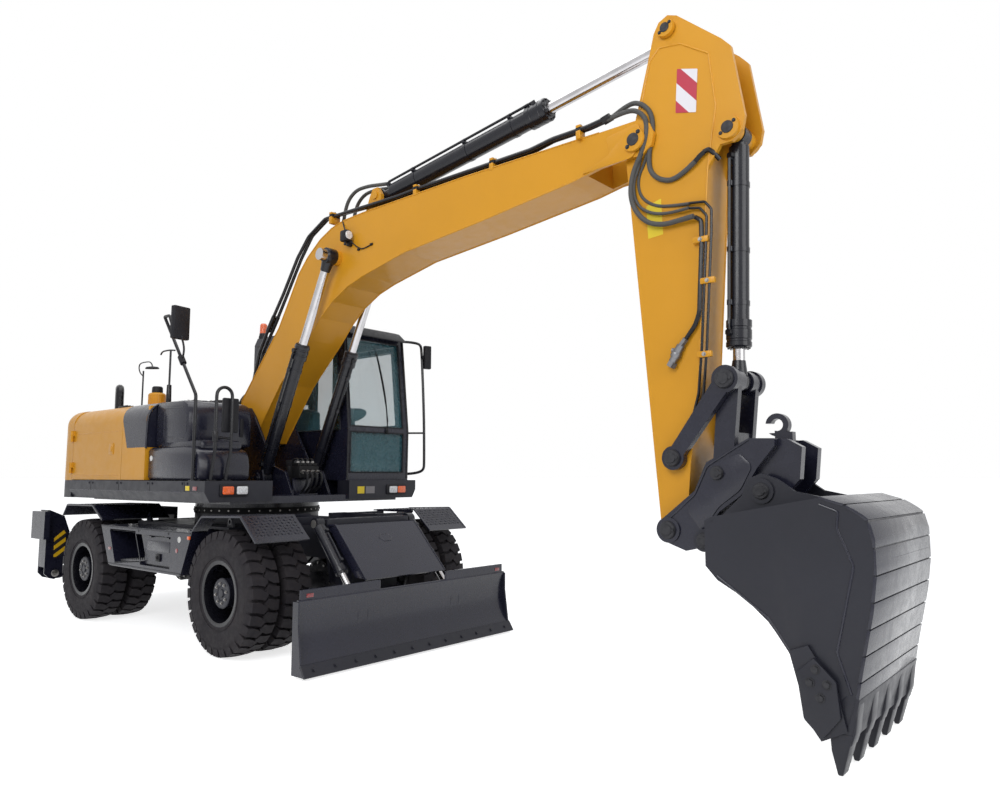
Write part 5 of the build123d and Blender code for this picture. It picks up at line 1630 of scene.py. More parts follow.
# ---- cab --------------------------------------------------------------------------------------------
@dataclass
class Cab(Trim):
    """The cab's frames, seals, glass, roof trim, door hardware and what shows inside."""

    right: float = 0.382
    left: float = 1.255
    rear: float = -0.780
    top: float = 3.170
    seal: float = 0.009
    filter_slats: int = 8
    bar_heights: Flat = (1.99, 2.05)
    beacon_at: Flat = (-0.66, 0.42)

    def seals(self) -> None:
        """Rubber seals round every window."""
        right = [(-0.68, 2.01), (0.9, 2.01), (0.806, 3.0), (-0.68, 3.0)]
        door = [(-0.18, 2.09), (0.845, 2.09), (0.75, 2.95), (-0.18, 2.95)]
        back = oblong(-0.69, 2.09, -0.32, 3.0)
        lower = [(-0.18, 1.62), (0.65, 1.62), (0.8, 2.01), (-0.18, 2.01)]
        for name, outline, y, body in (
                ("right", right, self.right - 0.0005, "upper"),
                ("door", door, self.left + 0.0005, "cab_door"), ("corner", back, self.left + 0.0005, "upper"),
                ("door_low", lower, self.left + 0.0005, "cab_door")):
            self.put(
                f"window_seal_{name}", Shape().outline([(x, y, z) for x, z in outline], self.seal),
                Finish.PLASTIC, body)
        front = Shape()
        low = [(1.012, 0.427, 1.56), (1.012, 1.175, 1.56), (1.018, 1.175, 1.99), (1.018, 0.427, 1.99)]
        high = [(1.013, 0.427, 2.05), (1.013, 1.175, 2.05), (0.91, 1.175, 3.01), (0.91, 0.427, 3.01)]
        for corners in (low, high):
            front.outline(corners, self.seal)
        self.put("window_seal_front", front, Finish.PLASTIC)
        rear = Shape()
        corners = [
            (self.rear - 0.001, y, z) for y, z in ((0.442, 2.15), (1.195, 2.15), (1.195, 3.0), (0.442, 3.0))]
        rear.outline(corners, self.seal)
        self.put("window_seal_rear", rear, Finish.PLASTIC)

    def frame(self) -> None:
        """Corner posts, the roof's gutters and pressings, its hatch and its visor."""
        shape = Shape()
        for y in (self.right + 0.003, self.left - 0.003):
            side = -1.0 if y < 0.8 else 1.0
            shape.run(
                [(1.006, y - side * 0.012, 1.49), (1.015, y - side * 0.012, 2.02),
                (0.902, y - side * 0.012, 3.06), (0.82, y - side * 0.012, 3.148)], 0.015)
        self.put("cab_posts", shape, Finish.BLACK)
        gutter = Shape()
        for y in (self.right - 0.001, self.left + 0.001):
            gutter.run([(0.86, y, 3.075), (-0.72, y, 3.075)], 0.008)
        self.put("cab_gutters", gutter, Finish.BLACK)
        self.put(
            "roof_pressing", Shape().plate(oblong(-0.62, 0.44, 0.7, 1.2), Face.PLAN, self.top - 0.002,
            self.top + 0.012, 0.008, 0.05), Finish.BLACK)
        self.put(
            "roof_hatch", Shape().plate(oblong(-0.29, 0.51, 0.61, 1.13), Face.PLAN, self.top + 0.0205,
            self.top + 0.03, 0.006, 0.04), Finish.PLASTIC)
        section = [(0.86, 3.12), (0.995, 3.035), (1.002, 3.045), (0.875, 3.15), (0.78, 3.178), (0.775, 3.168)]
        self.put(
            "roof_visor", Shape().plate(section, Face.SIDE, self.right + 0.03, self.left - 0.03, 0.002),
            Finish.PLASTIC)

    def hardware(self) -> None:
        """Wiper, door handle and rail, the front windows' bar, hinge nuts and the filter's grille."""
        wiper = Shape().rod((1.02, 0.92, 2.0), (1.04, 0.92, 2.0), 0.02, 24, round_by=0.003)
        wiper.pipe([(1.037, 0.92, 2.0), (1.028, 0.93, 2.2), (0.985, 0.88, 2.62), (0.955, 0.82, 2.86)], 0.007)
        wiper.pipe([(1.026, 0.94, 2.12), (0.975, 0.885, 2.6), (0.94, 0.8, 2.93)], 0.0045)
        self.put("wiper", wiper, Finish.DEEP)
        handle = Shape().plate(
            [(0.58, 2.03), (0.74, 2.03), (0.745, 2.075), (0.58, 2.075)], Face.SIDE, self.left,
            self.left + 0.012, 0.004, 0.01)
        handle.run(
            [(0.6, self.left + 0.006, 2.052), (0.61, self.left + 0.034, 2.052),
            (0.7, self.left + 0.034, 2.052), (0.71, self.left + 0.006, 2.052)], 0.008)
        self.put("door_handle", handle, Finish.PLASTIC, "cab_door")
        self.put(
            "door_rail", Shape().run([(0.0, self.left - 0.01, 1.66), (0.0, self.left + 0.05, 1.66),
            (0.0, self.left + 0.05, 2.0), (0.0, self.left - 0.01, 2.0)], 0.011), Finish.PLASTIC, "cab_door")
        bar = Shape()
        for z in self.bar_heights:
            bar.block((1.0105, 0.42, z - 0.004), (1.021, 1.18, z + 0.004), 0.002)
        self.put("front_bar", bar, Finish.BLACK)
        hinges = Shape()
        for z in (1.76, 2.7):
            hinges.rod((-0.24, 1.275, z + 0.0605), (-0.24, 1.275, z + 0.07), 0.011, 6)
        self.put("hinge_nuts", hinges, Finish.ZINC)
        filter_box = Shape().plate(
            oblong(-0.6, 1.56, -0.3, 1.86), Face.SIDE, self.left, self.left + 0.008, 0.004, 0.03)
        for row in range(self.filter_slats):
            filter_box.block(
                (-0.57, self.left + 0.006, 1.59 + row * 0.032),
                (-0.33, self.left + 0.0125, 1.604 + row * 0.032), 0.002)
        self.put("cab_filter", filter_box, Finish.BLACK)

    def interior(self) -> None:
        """Joysticks, arm rests, the steering wheel's spokes, the monitor, the lining and the pedals."""
        for name, y in (("right", 0.515), ("left", 1.105)):
            self.put(
                f"joystick_boot_{name}", Shape().lathe([(0.0, 0.0), (0.0, 0.035), (0.012, 0.036),
                (0.018, 0.028), (0.03, 0.03), (0.036, 0.022), (0.048, 0.023), (0.056, 0.012), (0.07, 0.008),
                (0.07, 0.0)], (0.18, y, 1.99), (0.12, 0.0, 1.0), 28, False), Finish.RUBBER)
            grip = Shape().pipe([(0.188, y, 2.05), (0.2, y, 2.1), (0.205, y, 2.16), (0.222, y, 2.215)], 0.021)
            grip.block((0.205, y - 0.02, 2.195), (0.25, y + 0.02, 2.225), 0.007)
            self.put(f"joystick_grip_{name}", grip, Finish.PLASTIC)
            self.put(
                f"arm_rest_{name}", Shape().block((-0.28, y - 0.04, 1.989), (0.08, y + 0.04, 2.03), 0.014),
                Finish.PLASTIC)
        wheel = Shape()
        centre = Vector((0.52, 0.8, 2.195))
        turn = Matrix.Rotation(math.radians(-20.0), 3, "Y")
        for angle in (90.0, 210.0, 330.0):
            out = turn @ outward(math.radians(angle))
            wheel.pipe([centre + out * 0.02 + turn @ Vector((0.0, 0.0, 0.016)), centre + out * 0.18], 0.011)
        wheel.lathe(
            [(0.0, 0.0), (0.006, 0.045), (0.02, 0.05), (0.03, 0.04), (0.034, 0.0)], tuple(centre),
            tuple(turn @ Vector(UP)), 30, False)
        self.put("steering_spokes", wheel, Finish.PLASTIC)
        screen = Shape().block((0.78, 0.5, 2.14), (0.815, 0.66, 2.26), 0.01, Matrix.Rotation(0.4, 3, "Z"))
        screen.pipe([(0.8, 0.56, 2.14), (0.83, 0.5, 2.06), (0.86, 0.46, 1.99)], 0.01)
        self.put("monitor", screen, Finish.PLASTIC)
        lining = Shape().block((self.rear + 0.051, 0.44, 1.56), (self.rear + 0.06, 1.2, 2.14), 0.002)
        lining.block((-0.6, 0.45, 3.08), (0.72, 1.19, 3.105), 0.01)
        self.put("cab_lining", lining, Finish.GREY_PLASTIC)
        pedals = Shape()
        for y in (0.7, 0.9):
            pedals.block(
                (0.62, y - 0.045, 1.6), (0.76, y + 0.045, 1.615), 0.004, Matrix.Rotation(-0.5, 3, "Y"))
            pedals.rod((0.7, y, 1.54), (0.7, y, 1.61), 0.012)
        self.put("pedals", pedals, Finish.RUBBER)

    def beacon(self) -> None:
        """The amber beacon over its base."""
        self.put(
            "beacon_lens", Shape().lathe([(0.06, 0.0), (0.06, 0.0445), (0.075, 0.045), (0.165, 0.042),
            (0.182, 0.03), (0.1885, 0.0)], (*self.beacon_at, self.top), UP, 40, False), Finish.AMBER,
            replaces=("beacon",))
        self.put(
            "beacon_foot", Shape().lathe([(0.0005, 0.0), (0.0005, 0.055), (0.02, 0.054), (0.045, 0.047),
            (0.0605, 0.047), (0.0605, 0.0)], (*self.beacon_at, self.top), UP, 40, False), Finish.PLASTIC)

    def build(self) -> None:
        """Dresses the cab and adds its trim."""
        self.dress(Finish.CHARCOAL, "cab_shell", "cab_door")
        self.dress(Finish.PLASTIC, "cab_controls")
        self.dress(Finish.GLASS, "cab_windows")
        self.dress(Finish.DOOR_GLASS, "door_glass")
        self.seals()
        self.frame()
        self.hardware()
        self.interior()
        self.beacon()


@dataclass
class Seat(Trim):
    """The operator's cushion, backrest and head restraint, swelled by a short cloth run."""

    voxel: float = 0.008
    pressure: float = 4.0
    swell: float = 0.012
    steps: int = 15

    def blank(self, outline: Sequence[Flat], low: float, high: float, pull: float) -> Shape:
        """A starting form a little under the cushion's size, with its sides drawn in.

        Args:
            outline: X-Z corners of the cushion's middle section.
            low: Nearest Y.
            high: Farthest Y.
            pull: How far the end faces shrink.

        Returns:
            The form.
        """
        shape = Shape().plate(outline, Face.SIDE, low, high, 0.0, 0.03)
        middle = Vector(
            (sum(x for x, _ in outline) / len(outline), 0.0, sum(z for _, z in outline) / len(outline)))
        bmesh.ops.subdivide_edges(shape.bm, edges=shape.bm.edges[:], cuts=2, use_grid_fill=True)
        for vert in shape.bm.verts:
            end = abs(vert.co.y - (low + high) / 2) / ((high - low) / 2)
            share = 1.0 - pull * end ** 6
            vert.co.x = middle.x + (vert.co.x - middle.x) * share
            vert.co.z = middle.z + (vert.co.z - middle.z) * share
        return shape

    def inflate(self, piece: bpy.types.Object) -> None:
        """Remeshes the piece, runs Cloth with inner pressure, caps how far it moves and applies it."""
        remesh = piece.modifiers.new("remesh", "REMESH")
        remesh.mode = "VOXEL"
        remesh.voxel_size = self.voxel
        self.bake(piece)
        rest = [vert.co.copy() for vert in piece.data.vertices]
        cloth = piece.modifiers.new("cloth", "CLOTH")
        cloth.settings.use_pressure = True
        cloth.settings.uniform_pressure_force = self.pressure
        cloth.settings.effector_weights.gravity = 0.0
        for step in range(1, self.steps + 1):
            bpy.context.scene.frame_set(step)
        self.bake(piece)
        bpy.context.scene.frame_set(1)
        for vert, start in zip(piece.data.vertices, rest):
            move = vert.co - start
            if move.length > self.swell:
                vert.co = start + move.normalized() * self.swell
        piece.data.shade_smooth()

    def bake(self, piece: bpy.types.Object) -> None:
        """Replaces the piece's mesh with its evaluated one."""
        mesh = bpy.data.meshes.new_from_object(piece.evaluated_get(bpy.context.evaluated_depsgraph_get()))
        piece.modifiers.clear()
        piece.data = mesh

    def build(self) -> None:
        """Makes the three pads, and the pan and posts that carry them."""
        parts = (
            ("seat_cushion", [(-0.27, 1.8), (0.17, 1.8), (0.185, 1.86), (0.15, 1.885), (-0.27, 1.87)], 0.585,
            1.015), ("seat_back", [(-0.305, 1.9), (-0.225, 1.9), (-0.275, 2.33), (-0.36, 2.33)], 0.6, 1.0),
            ("head_restraint", [(-0.36, 2.37), (-0.285, 2.37), (-0.305, 2.53), (-0.38, 2.53)], 0.68, 0.92))
        for name, outline, low, high in parts:
            piece = self.put(
                name, self.blank(outline, low, high, 0.12), Finish.CLOTH,
                replaces=("operator_seat",) if name == "seat_cushion" else ())
            self.inflate(piece)
        frame = Shape().block((-0.29, 0.6, 1.779), (0.19, 1.0, 1.805), 0.01)
        frame.pipe([(-0.3, 0.72, 2.3), (-0.33, 0.72, 2.42)], 0.007)
        frame.pipe([(-0.3, 0.88, 2.3), (-0.33, 0.88, 2.42)], 0.007)
        self.put("seat_pan", frame, Finish.PLASTIC)


@dataclass
class MirrorsAndRails(Trim):
    """Tubular rails, mirror poles and mirror heads on both sides."""

    tube: float = 0.0155

    def head(self, name: str, centre: Point, size: Point, turn: float) -> None:
        """A mirror housing with its glass.

        Args:
            name: The piece's name.
            centre: Middle of the housing.
            size: Depth, width and height.
            turn: Turn about the upright axis, in degrees.
        """
        half = Vector(size) / 2
        middle = Vector(centre)
        way = Matrix.Rotation(math.radians(turn), 3, "Z")
        self.put(
            f"mirror_house_{name}", Shape().block(middle - half, middle + half, 0.012, way), Finish.PLASTIC)
        back = middle + way @ Vector((-half.x - 0.001, 0.0, 0.0))
        self.put(
            f"mirror_glass_{name}", Shape().block(back - Vector((0.001, half.y - 0.014, half.z - 0.014)),
            back + Vector((0.001, half.y - 0.014, half.z - 0.014)), 0.0, way), Finish.CHROME)

    def build(self) -> None:
        """Makes the rails, poles and mirrors."""
        rails = Shape().run(
            [(0.884, -1.248, 1.476), (0.884, -1.248, 2.252), (0.27, -1.268, 3.05), (0.37, -1.268, 3.048),
            (0.43, -1.268, 2.94)], self.tube)
        rails.rod((0.884, -1.246, 1.4753), (0.884, -1.246, 1.484), 0.018, 24)
        rails.block((0.83, -1.262, 1.4753), (0.94, -1.195, 1.4815), 0.002)
        rails.bolts([(0.845, -1.21, 1.481), (0.925, -1.21, 1.481)], UP, 0.009, 0.009)
        bends = [math.radians(180.0 - 22.5 * step) for step in range(9)]
        hoop = [(1.0, y, z) for y, z in ringed((-1.03, 2.253), 0.0785, bends)]
        feet = [(0.975, -1.126, 1.478), (0.975, -1.126, 1.53), (1.0, -1.1085, 1.72)]
        others = [(1.0, -0.9515, 1.72), (0.975, -0.976, 1.53), (0.975, -0.976, 1.478)]
        rails.pipe(
            [*feet, (1.0, -1.1085, 1.8), (1.0, -1.1085, 2.2), *hoop, (1.0, -0.9515, 2.2), (1.0, -0.9515, 1.8),
            *others], self.tube)
        rails.rod((1.0, -1.1085, 1.87), (1.0, -0.9515, 1.86), 0.011)
        rails.rod((1.0, -1.1085, 1.83), (1.0, -1.1085, 1.925), 0.024, 24, round_by=0.004)
        for y in (-1.126, -0.976):
            rails.block((0.945, y - 0.045, 1.4753), (1.015, y + 0.045, 1.4815), 0.002)
            rails.bolts([(0.98, y + dy, 1.481) for dy in (-0.033, 0.033)], UP, 0.008, 0.009)
        self.put("right_rails", rails, Finish.BLACK, replaces=("mirrors_and_rails",))
        left = Shape().pipe(
            [(0.858, 1.262, 3.075), (0.9, 1.3, 3.073), (0.99, 1.37, 3.06), (1.07, 1.38, 3.03),
            (1.09, 1.38, 2.95), (1.14, 1.38, 2.2), (1.149, 1.38, 1.68), (1.145, 1.38, 1.6),
            (1.1, 1.37, 1.565), (1.02, 1.31, 1.545), (0.937, 1.262, 1.542)], self.tube)
        left.pipe([(0.97, 1.256, 2.005), (1.06, 1.3, 2.005), (1.138, 1.375, 2.005)], 0.011)
        for x, z in ((0.86, 3.075), (0.97, 2.005), (0.94, 1.542)):
            left.rod((x, 1.2553, z), (x, 1.264, z), 0.028, 24, round_by=0.002)
        self.put("left_rail", left, Finish.BLACK)
        clamps = Shape().rod((0.65, -1.256, 2.557), (0.594, -1.257, 2.63), 0.03, 24, round_by=0.005)
        clamps.rod((0.435, -1.268, 2.95), (0.425, -1.268, 2.92), 0.022, 20)
        clamps.block((1.09, 1.362, 2.86), (1.125, 1.4, 2.9), 0.005)
        self.put("mirror_clamps", clamps, Finish.PLASTIC)
        self.put(
            "mirror_arm", Shape().pipe([(0.622, -1.256, 2.6), (0.68, -1.27, 2.66), (0.7, -1.29, 2.74),
            (0.665, -1.3, 2.82)], 0.0095), Finish.BLACK)
        self.head("right", (0.65, -1.304, 2.935), (0.055, 0.18, 0.31), 12.0)
        self.head("low", (0.945, -0.935, 2.08), (0.045, 0.155, 0.32), 0.0)
        self.head("left", (1.13, 1.43, 2.88), (0.05, 0.09, 0.27), -18.0)
        posts = Shape().run([(-0.61, -0.75, 2.265), (-0.61, -0.75, 2.88)], 0.011)
        posts.rod((-0.61, -0.75, 2.262), (-0.61, -0.75, 2.5), 0.03, 28, 0.024, 0.004)
        posts.pipe(
            [(-0.83, -0.75, 2.85), (-0.81, -0.75, 2.882), (-0.7, -0.75, 2.885), (-0.6, -0.75, 2.88),
            (-0.52, -0.75, 2.868)], 0.009)
        posts.run([(-1.33, -0.7, 2.25), (-1.33, -0.7, 2.72)], 0.009)
        posts.pipe(
            [(-1.33, -0.7, 2.66), (-1.4, -0.7, 2.69), (-1.45, -0.7, 2.76), (-1.43, -0.7, 2.815),
            (-1.3, -0.7, 2.82), (-1.15, -0.7, 2.81), (-1.12, -0.7, 2.76)], 0.007)
        self.put("hood_posts", posts, Finish.BLACK)
        self.put(
            "deck_mirror", Shape().lathe([(0.0, 0.0), (0.002, 0.07), (0.012, 0.075), (0.028, 0.06),
            (0.036, 0.0)], (-1.12, -0.7, 2.72), (0.1, -0.1, 1.0), 40, False), Finish.PLASTIC)


# ---- boom, stick and bucket -------------------------------------------------------------------------
@dataclass
class Boom(Trim):
    """The box-section boom with its seams, caps, pipe runs and work lamp."""

    home: ClassVar[str] = "boom"
    half: float = 0.205
    pipe: float = 0.017
    pin_bolt_circle: float = 0.062
    nose_pin: Flat = (4.858, 3.864)
    rows: tuple[float, ...] = (-0.178, -0.132, 0.132, 0.178)

    def seams(self) -> None:
        """Weld beads round the side plates and across them."""
        rim = [
            (0.18, 1.87), (0.646, 2.454), (1.099, 2.867), (1.294, 3.065), (1.472, 3.205), (1.7, 3.32),
            (1.919, 3.385), (2.49, 3.506), (3.369, 3.59), (4.3, 3.696), (4.56, 3.745)]
        crown = [
            (4.56, 4.01), (3.232, 4.019), (1.901, 4.0), (1.62, 3.985), (1.444, 3.947), (1.262, 3.866),
            (1.062, 3.721), (0.918, 3.57), (0.746, 3.288), (0.598, 3.054), (-0.06, 2.33)]
        welds = Shape()
        for line in (rim, crown, [(2.57, 3.525), (2.57, 3.985)], [(4.23, 3.70), (4.32, 4.0)]):
            welds.bead(line, -self.half, 0.006)
        self.put("boom_welds", welds.mirrored(), Finish.YELLOW)

    def caps(self) -> None:
        """Bosses and pin caps at the nose and on the lift pins."""
        nose = Shape().plate(
            [(4.62, 3.95), (4.89, 3.985), (4.925, 3.87), (4.84, 3.745), (4.4, 3.73), (4.66, 3.82)], Face.SIDE,
            -self.half - 0.002, -self.half - 0.011, 0.003, 0.03)
        nose.lathe(
            [(0.0, 0.0), (0.0, 0.082), (0.012, 0.086), (0.024, 0.082), (0.024, 0.0)],
            (self.nose_pin[0], -self.half - 0.034, self.nose_pin[1]), steps=48, closed=False)
        self.put("boom_nose_plates", nose.mirrored(), Finish.YELLOW)
        caps = Shape()
        for x, z, y, radius in ((*self.nose_pin, 0.239, 0.046), (1.548, 3.622, 0.254, 0.06)):
            caps.rod((x, -y + 0.02, z), (x, -y - 0.006, z), radius, 36, round_by=0.003)
        caps.bolts(
            [(x, -0.239, z) for x, z in ringed(self.nose_pin, self.pin_bolt_circle, (0.8, 3.94))], RIGHTWARD,
            0.011, 0.01)
        self.put("boom_pin_caps", caps.mirrored(), Finish.CAST)

    def pipes(self) -> None:
        """Oil pipes along the crown with their clamps, and the lower run to the foot."""
        runs = Shape()
        for y in self.rows:
            low = 0.0 if abs(y) > 0.15 else 0.02
            tip = math.copysign(0.223 if abs(y) > 0.15 else 0.19, y)
            runs.run(
                [(0.40 + low, y, 3.13), (0.62, y, 3.42), (0.85, y, 3.76), (1.03, y, 3.95 + low),
                (1.3, y, 4.08 + low), (2.36, y, 4.06), (2.6, y, 4.068), (3.9, y, 4.072), (4.15, tip, 4.074),
                (4.47, tip, 4.075), (4.62, tip, 4.09)], self.pipe)
            runs.run([(0.40 + low, y, 3.13), (0.2, y, 2.83), (0.13, y, 2.6)], self.pipe)
            runs.rod((0.46, y, 3.2), (0.35, y, 3.05), self.pipe * 1.4, 12)
            runs.rod((4.60, tip, 4.085), (4.665, tip, 4.1), self.pipe * 1.45, 6)
        self.put("boom_pipes", runs, Finish.BLACK)
        clamps, seats, studs = Shape(), Shape(), Shape()
        for x, z, middle, half in (
                (1.42, 4.085, 0.155, 0.055), (2.62, 4.07, 0.155, 0.055), (3.52, 4.072, 0.155, 0.055),
                (4.4, 4.075, 0.2095, 0.035)):
            for side in HANDS:
                y = side * middle
                clamps.block((x - 0.02, y - half, z + 0.012), (x + 0.02, y + half, z + 0.032), 0.004)
                clamps.block((x - 0.02, y - half, 4.0), (x + 0.02, y + half, z - 0.012), 0.004)
                seats.block(
                    (x - 0.026, y - half + 0.005, z - 0.018), (x + 0.026, y + half - 0.005, z + 0.016), 0.005)
                studs.bolts([(x, y, z + 0.031)], UP, 0.011, 0.012)
        self.put("boom_pipe_clamps", clamps, Finish.YELLOW)
        self.put("boom_pipe_seats", seats, Finish.RUBBER)
        self.put("boom_pipe_studs", studs, Finish.ZINC)

    def lamp(self) -> None:
        """The work lamp on its bracket, with its lead along the side plate."""
        house = Shape().block((1.70, -0.31, 3.735), (1.80, -0.245, 3.845), 0.016)
        house.block((1.73, -0.25, 3.70), (1.77, -0.206, 3.76), 0.004)
        house.rod((1.75, -0.28, 3.70), (1.75, -0.28, 3.74), 0.012)
        house.pipe([(1.72, -0.25, 3.82), (1.66, -0.222, 3.9), (1.63, -0.212, 3.95), (1.60, -0.2, 4.0)], 0.006)
        house.pipe(
            [(1.78, -0.25, 3.75), (1.86, -0.215, 3.66), (1.96, -0.212, 3.64), (2.07, -0.212, 3.67)], 0.006)
        for x, z in ((1.87, 3.65), (2.05, 3.665)):
            house.block((x - 0.014, -0.222, z - 0.01), (x + 0.014, -0.204, z + 0.01), 0.003)
        self.put("boom_lamp_house", house, Finish.PLASTIC)
        self.put(
            "boom_lamp_lens",
            Shape().rod((1.799, -0.278, 3.79), (1.808, -0.278, 3.79), 0.04, 32, round_by=0.003), Finish.CLEAR)

    def build(self) -> None:
        """Dresses the boom and adds everything on it."""
        self.dress(Finish.YELLOW, "boom")
        for part in (self.seams, self.caps, self.pipes, self.lamp):
            part()


@dataclass
class Stick(Trim):
    """The stick's seams, plates, caps and pipe runs."""

    home: ClassVar[str] = "stick"
    half: float = 0.165

    def seams(self) -> None:
        """Weld beads on both faces."""
        lines = (
            [(5.04, 4.50), (5.20, 4.475), (5.405, 4.33)],
            [(5.405, 4.33), (5.445, 3.95), (5.375, 3.54), (5.26, 2.02)],
            [(4.885, 4.10), (4.965, 4.43), (5.04, 4.50)], [(4.87, 3.62), (5.39, 3.90)],
            [(4.90, 2.35), (4.975, 1.45)], [(4.93, 1.42), (5.19, 1.42)])
        welds = Shape()
        for line in lines:
            welds.bead(line, -self.half, 0.006)
        self.put("stick_welds", welds.mirrored(), Finish.YELLOW)

    def caps(self) -> None:
        """Pin caps with their lock bolts."""
        bosses, caps = Shape(), Shape()
        for x, z, radius, y in (
                (5.104, 4.615, 0.062, 0.179), (5.529, 3.773, 0.075, 0.165), (5.102, 1.635, 0.0, 0.226)):
            if radius:
                bosses.lathe(
                    [(0.0, 0.0), (0.0, radius), (0.02, radius + 0.004), (0.03, radius + 0.004), (0.03, 0.0)],
                    (x, -y - 0.024, z), steps=40, closed=False)
                caps.rod((x, -y - 0.005, z), (x, -y - 0.03, z), radius * 0.55, 30, round_by=0.002)
                caps.bolts(
                    [(along, -y - 0.024, up) for along, up in ringed((x, z), radius * 0.74, (0.6, 3.74))],
                    RIGHTWARD, 0.009, 0.009)
        self.put("stick_bosses", bosses.mirrored(), Finish.YELLOW)
        self.put("stick_pin_caps", caps.mirrored(), Finish.CAST)

    def plates(self) -> None:
        """The striped warning plate and the small plain label."""
        y = self.half
        plate = Shape().plate(
            [(5.175, 4.30), (5.325, 4.25), (5.305, 3.95), (5.155, 3.99)], Face.SIDE, -y - 0.0008, -y - 0.003,
            0.0, 0.006)
        self.put("stick_warning_plates", plate.mirrored(), Finish.STICK_PLATE)
        self.put(
            "stick_label", Shape().plate([(4.915, 3.385), (5.03, 3.415), (5.04, 3.16), (4.925, 3.15)],
            Face.SIDE, -y - 0.0008, -y - 0.002, 0.0, 0.006), Finish.YELLOW_DECAL)

    def pipes(self) -> None:
        """Pipes down the near face, with their clamps and the quick couplings at the end."""
        y = -self.half - 0.024
        runs = Shape().run(
            [(5.29, y, 3.22), (5.33, y, 3.19), (5.33, y, 3.05), (5.30, y, 2.58), (5.27, y, 2.50),
            (5.19, y, 2.40)], 0.015)
        for shift, drop in ((0.0, 0.0), (-0.035, 0.035)):
            runs.run(
                [(5.25, y, 3.325 - drop), (5.36 + shift, y, 3.31 - drop), (5.405 + shift, y, 3.25 - drop),
                (5.40 + shift, y, 3.1), (5.345 + shift, y, 2.33), (5.315 + shift, y, 2.05),
                (5.22 + shift, y, 1.72)], 0.009)
        runs.pipe([(5.44, -0.12, 3.60), (5.42, -0.17, 3.64), (5.38, -0.19, 3.67), (5.30, -0.19, 3.60)], 0.016)
        self.put("stick_pipes", runs, Finish.BLACK)
        clamps, studs = Shape(), Shape()
        for x, z, wide in ((5.325, 3.06, 0.055), (5.365, 2.78, 0.05), (5.33, 2.30, 0.05)):
            clamps.block((x - wide, y - 0.014, z - 0.02), (x + wide, y + 0.0235, z + 0.02), 0.005)
            studs.bolts([(x, y - 0.013, z)], RIGHTWARD, 0.01, 0.011)
        self.put("stick_pipe_clamps", clamps, Finish.YELLOW)
        self.put("stick_pipe_studs", studs, Finish.ZINC)
        valve = Shape().rod((5.20, y, 2.415), (5.165, y, 2.375), 0.021, 6)
        valve.rod((5.165, y, 2.375), (5.10, y, 2.27), 0.028, 28)
        valve.rod((5.135, y, 2.33), (5.118, y, 2.30), 0.036, 30, round_by=0.003)
        valve.rod((5.15, y, 2.33), (5.10, y, 2.35), 0.017, 20)
        valve.rod((5.105, y, 2.27), (5.085, y, 2.24), 0.034, 6)
        valve.block((5.11, y - 0.02, 2.31), (5.16, y + 0.0235, 2.36), 0.006)
        self.put("stick_coupling", valve, Finish.STEEL)

    def build(self) -> None:
        """Dresses the stick and adds everything on it."""
        self.dress(Finish.YELLOW, "stick")
        for part in (self.seams, self.caps, self.plates, self.pipes):
            part()


@dataclass
class Linkage(Trim):
    """Side links, the bucket link and the quick coupler with their pins."""

    home: ClassVar[str] = "bucket"

    def cap(self, shape: Shape, x: float, y: float, z: float, radius: float) -> None:
        """A stepped pin head with a lock bolt beside its middle."""
        shape.lathe(
            [(0.0, 0.0), (0.0, radius * 0.55), (0.006, radius * 0.6), (0.006, radius * 0.9), (0.016, radius),
            (0.028, radius), (0.028, 0.0)], (x, -y - 0.022, z), steps=40, closed=False)
        shape.bolts([(x + radius * 0.74, -y - 0.017, z)], RIGHTWARD, 0.009, 0.009, False)

    def build(self) -> None:
        """Dresses the links and coupler and adds their pin heads, cheeks and jack."""
        self.dress(Finish.CHARCOAL, "side_links", "bucket_link", "quick_coupler")
        heads = (
            ("side_link_pins", "side_links", ((5.102, 1.635, 0.232, 0.055), (5.473, 2.126, 0.232, 0.062))),
            ("coupler_pins", "bucket", ((5.067, 1.172, 0.244, 0.058), (5.414, 1.537, 0.244, 0.044),
            (5.706, 1.43, 0.284, 0.05), (5.33, 1.12, 0.276, 0.048))))
        for name, body, places in heads:
            shape = Shape()
            for x, z, y, radius in places:
                self.cap(shape, x, y, z, radius)
            self.put(name, shape.mirrored(), Finish.CAST, body)
        ribs = Shape().pipe(
            [(5.02, -0.234, 1.2), (5.255, -0.234, 1.4), (5.345, -0.234, 1.58), (5.62, -0.234, 1.74)], 0.007,
            False, 2, 1)
        ribs.plate(
            [(5.30, 1.17), (5.42, 1.33), (5.56, 1.43), (5.64, 1.58), (5.56, 1.66), (5.36, 1.58), (5.28, 1.41),
            (5.2, 1.3)], Face.SIDE, -0.2325, -0.24, 0.003, 0.03)
        self.put("coupler_cheeks", ribs.mirrored(), Finish.CHARCOAL)
        jack = Shape().rod((5.40, 0.0, 1.36), (5.60, 0.0, 1.50), 0.045, 32, round_by=0.004)
        jack.rod((5.60, 0.0, 1.50), (5.66, 0.0, 1.545), 0.026, 24)
        for y in (-0.035, 0.035):
            jack.pipe(
                [(5.47, y, 1.45), (5.44, y * 1.6, 1.56), (5.40, y * 2.2, 1.66), (5.33, y * 2.6, 1.60)], 0.009)
        self.put("coupler_jack", jack, Finish.BLACK)


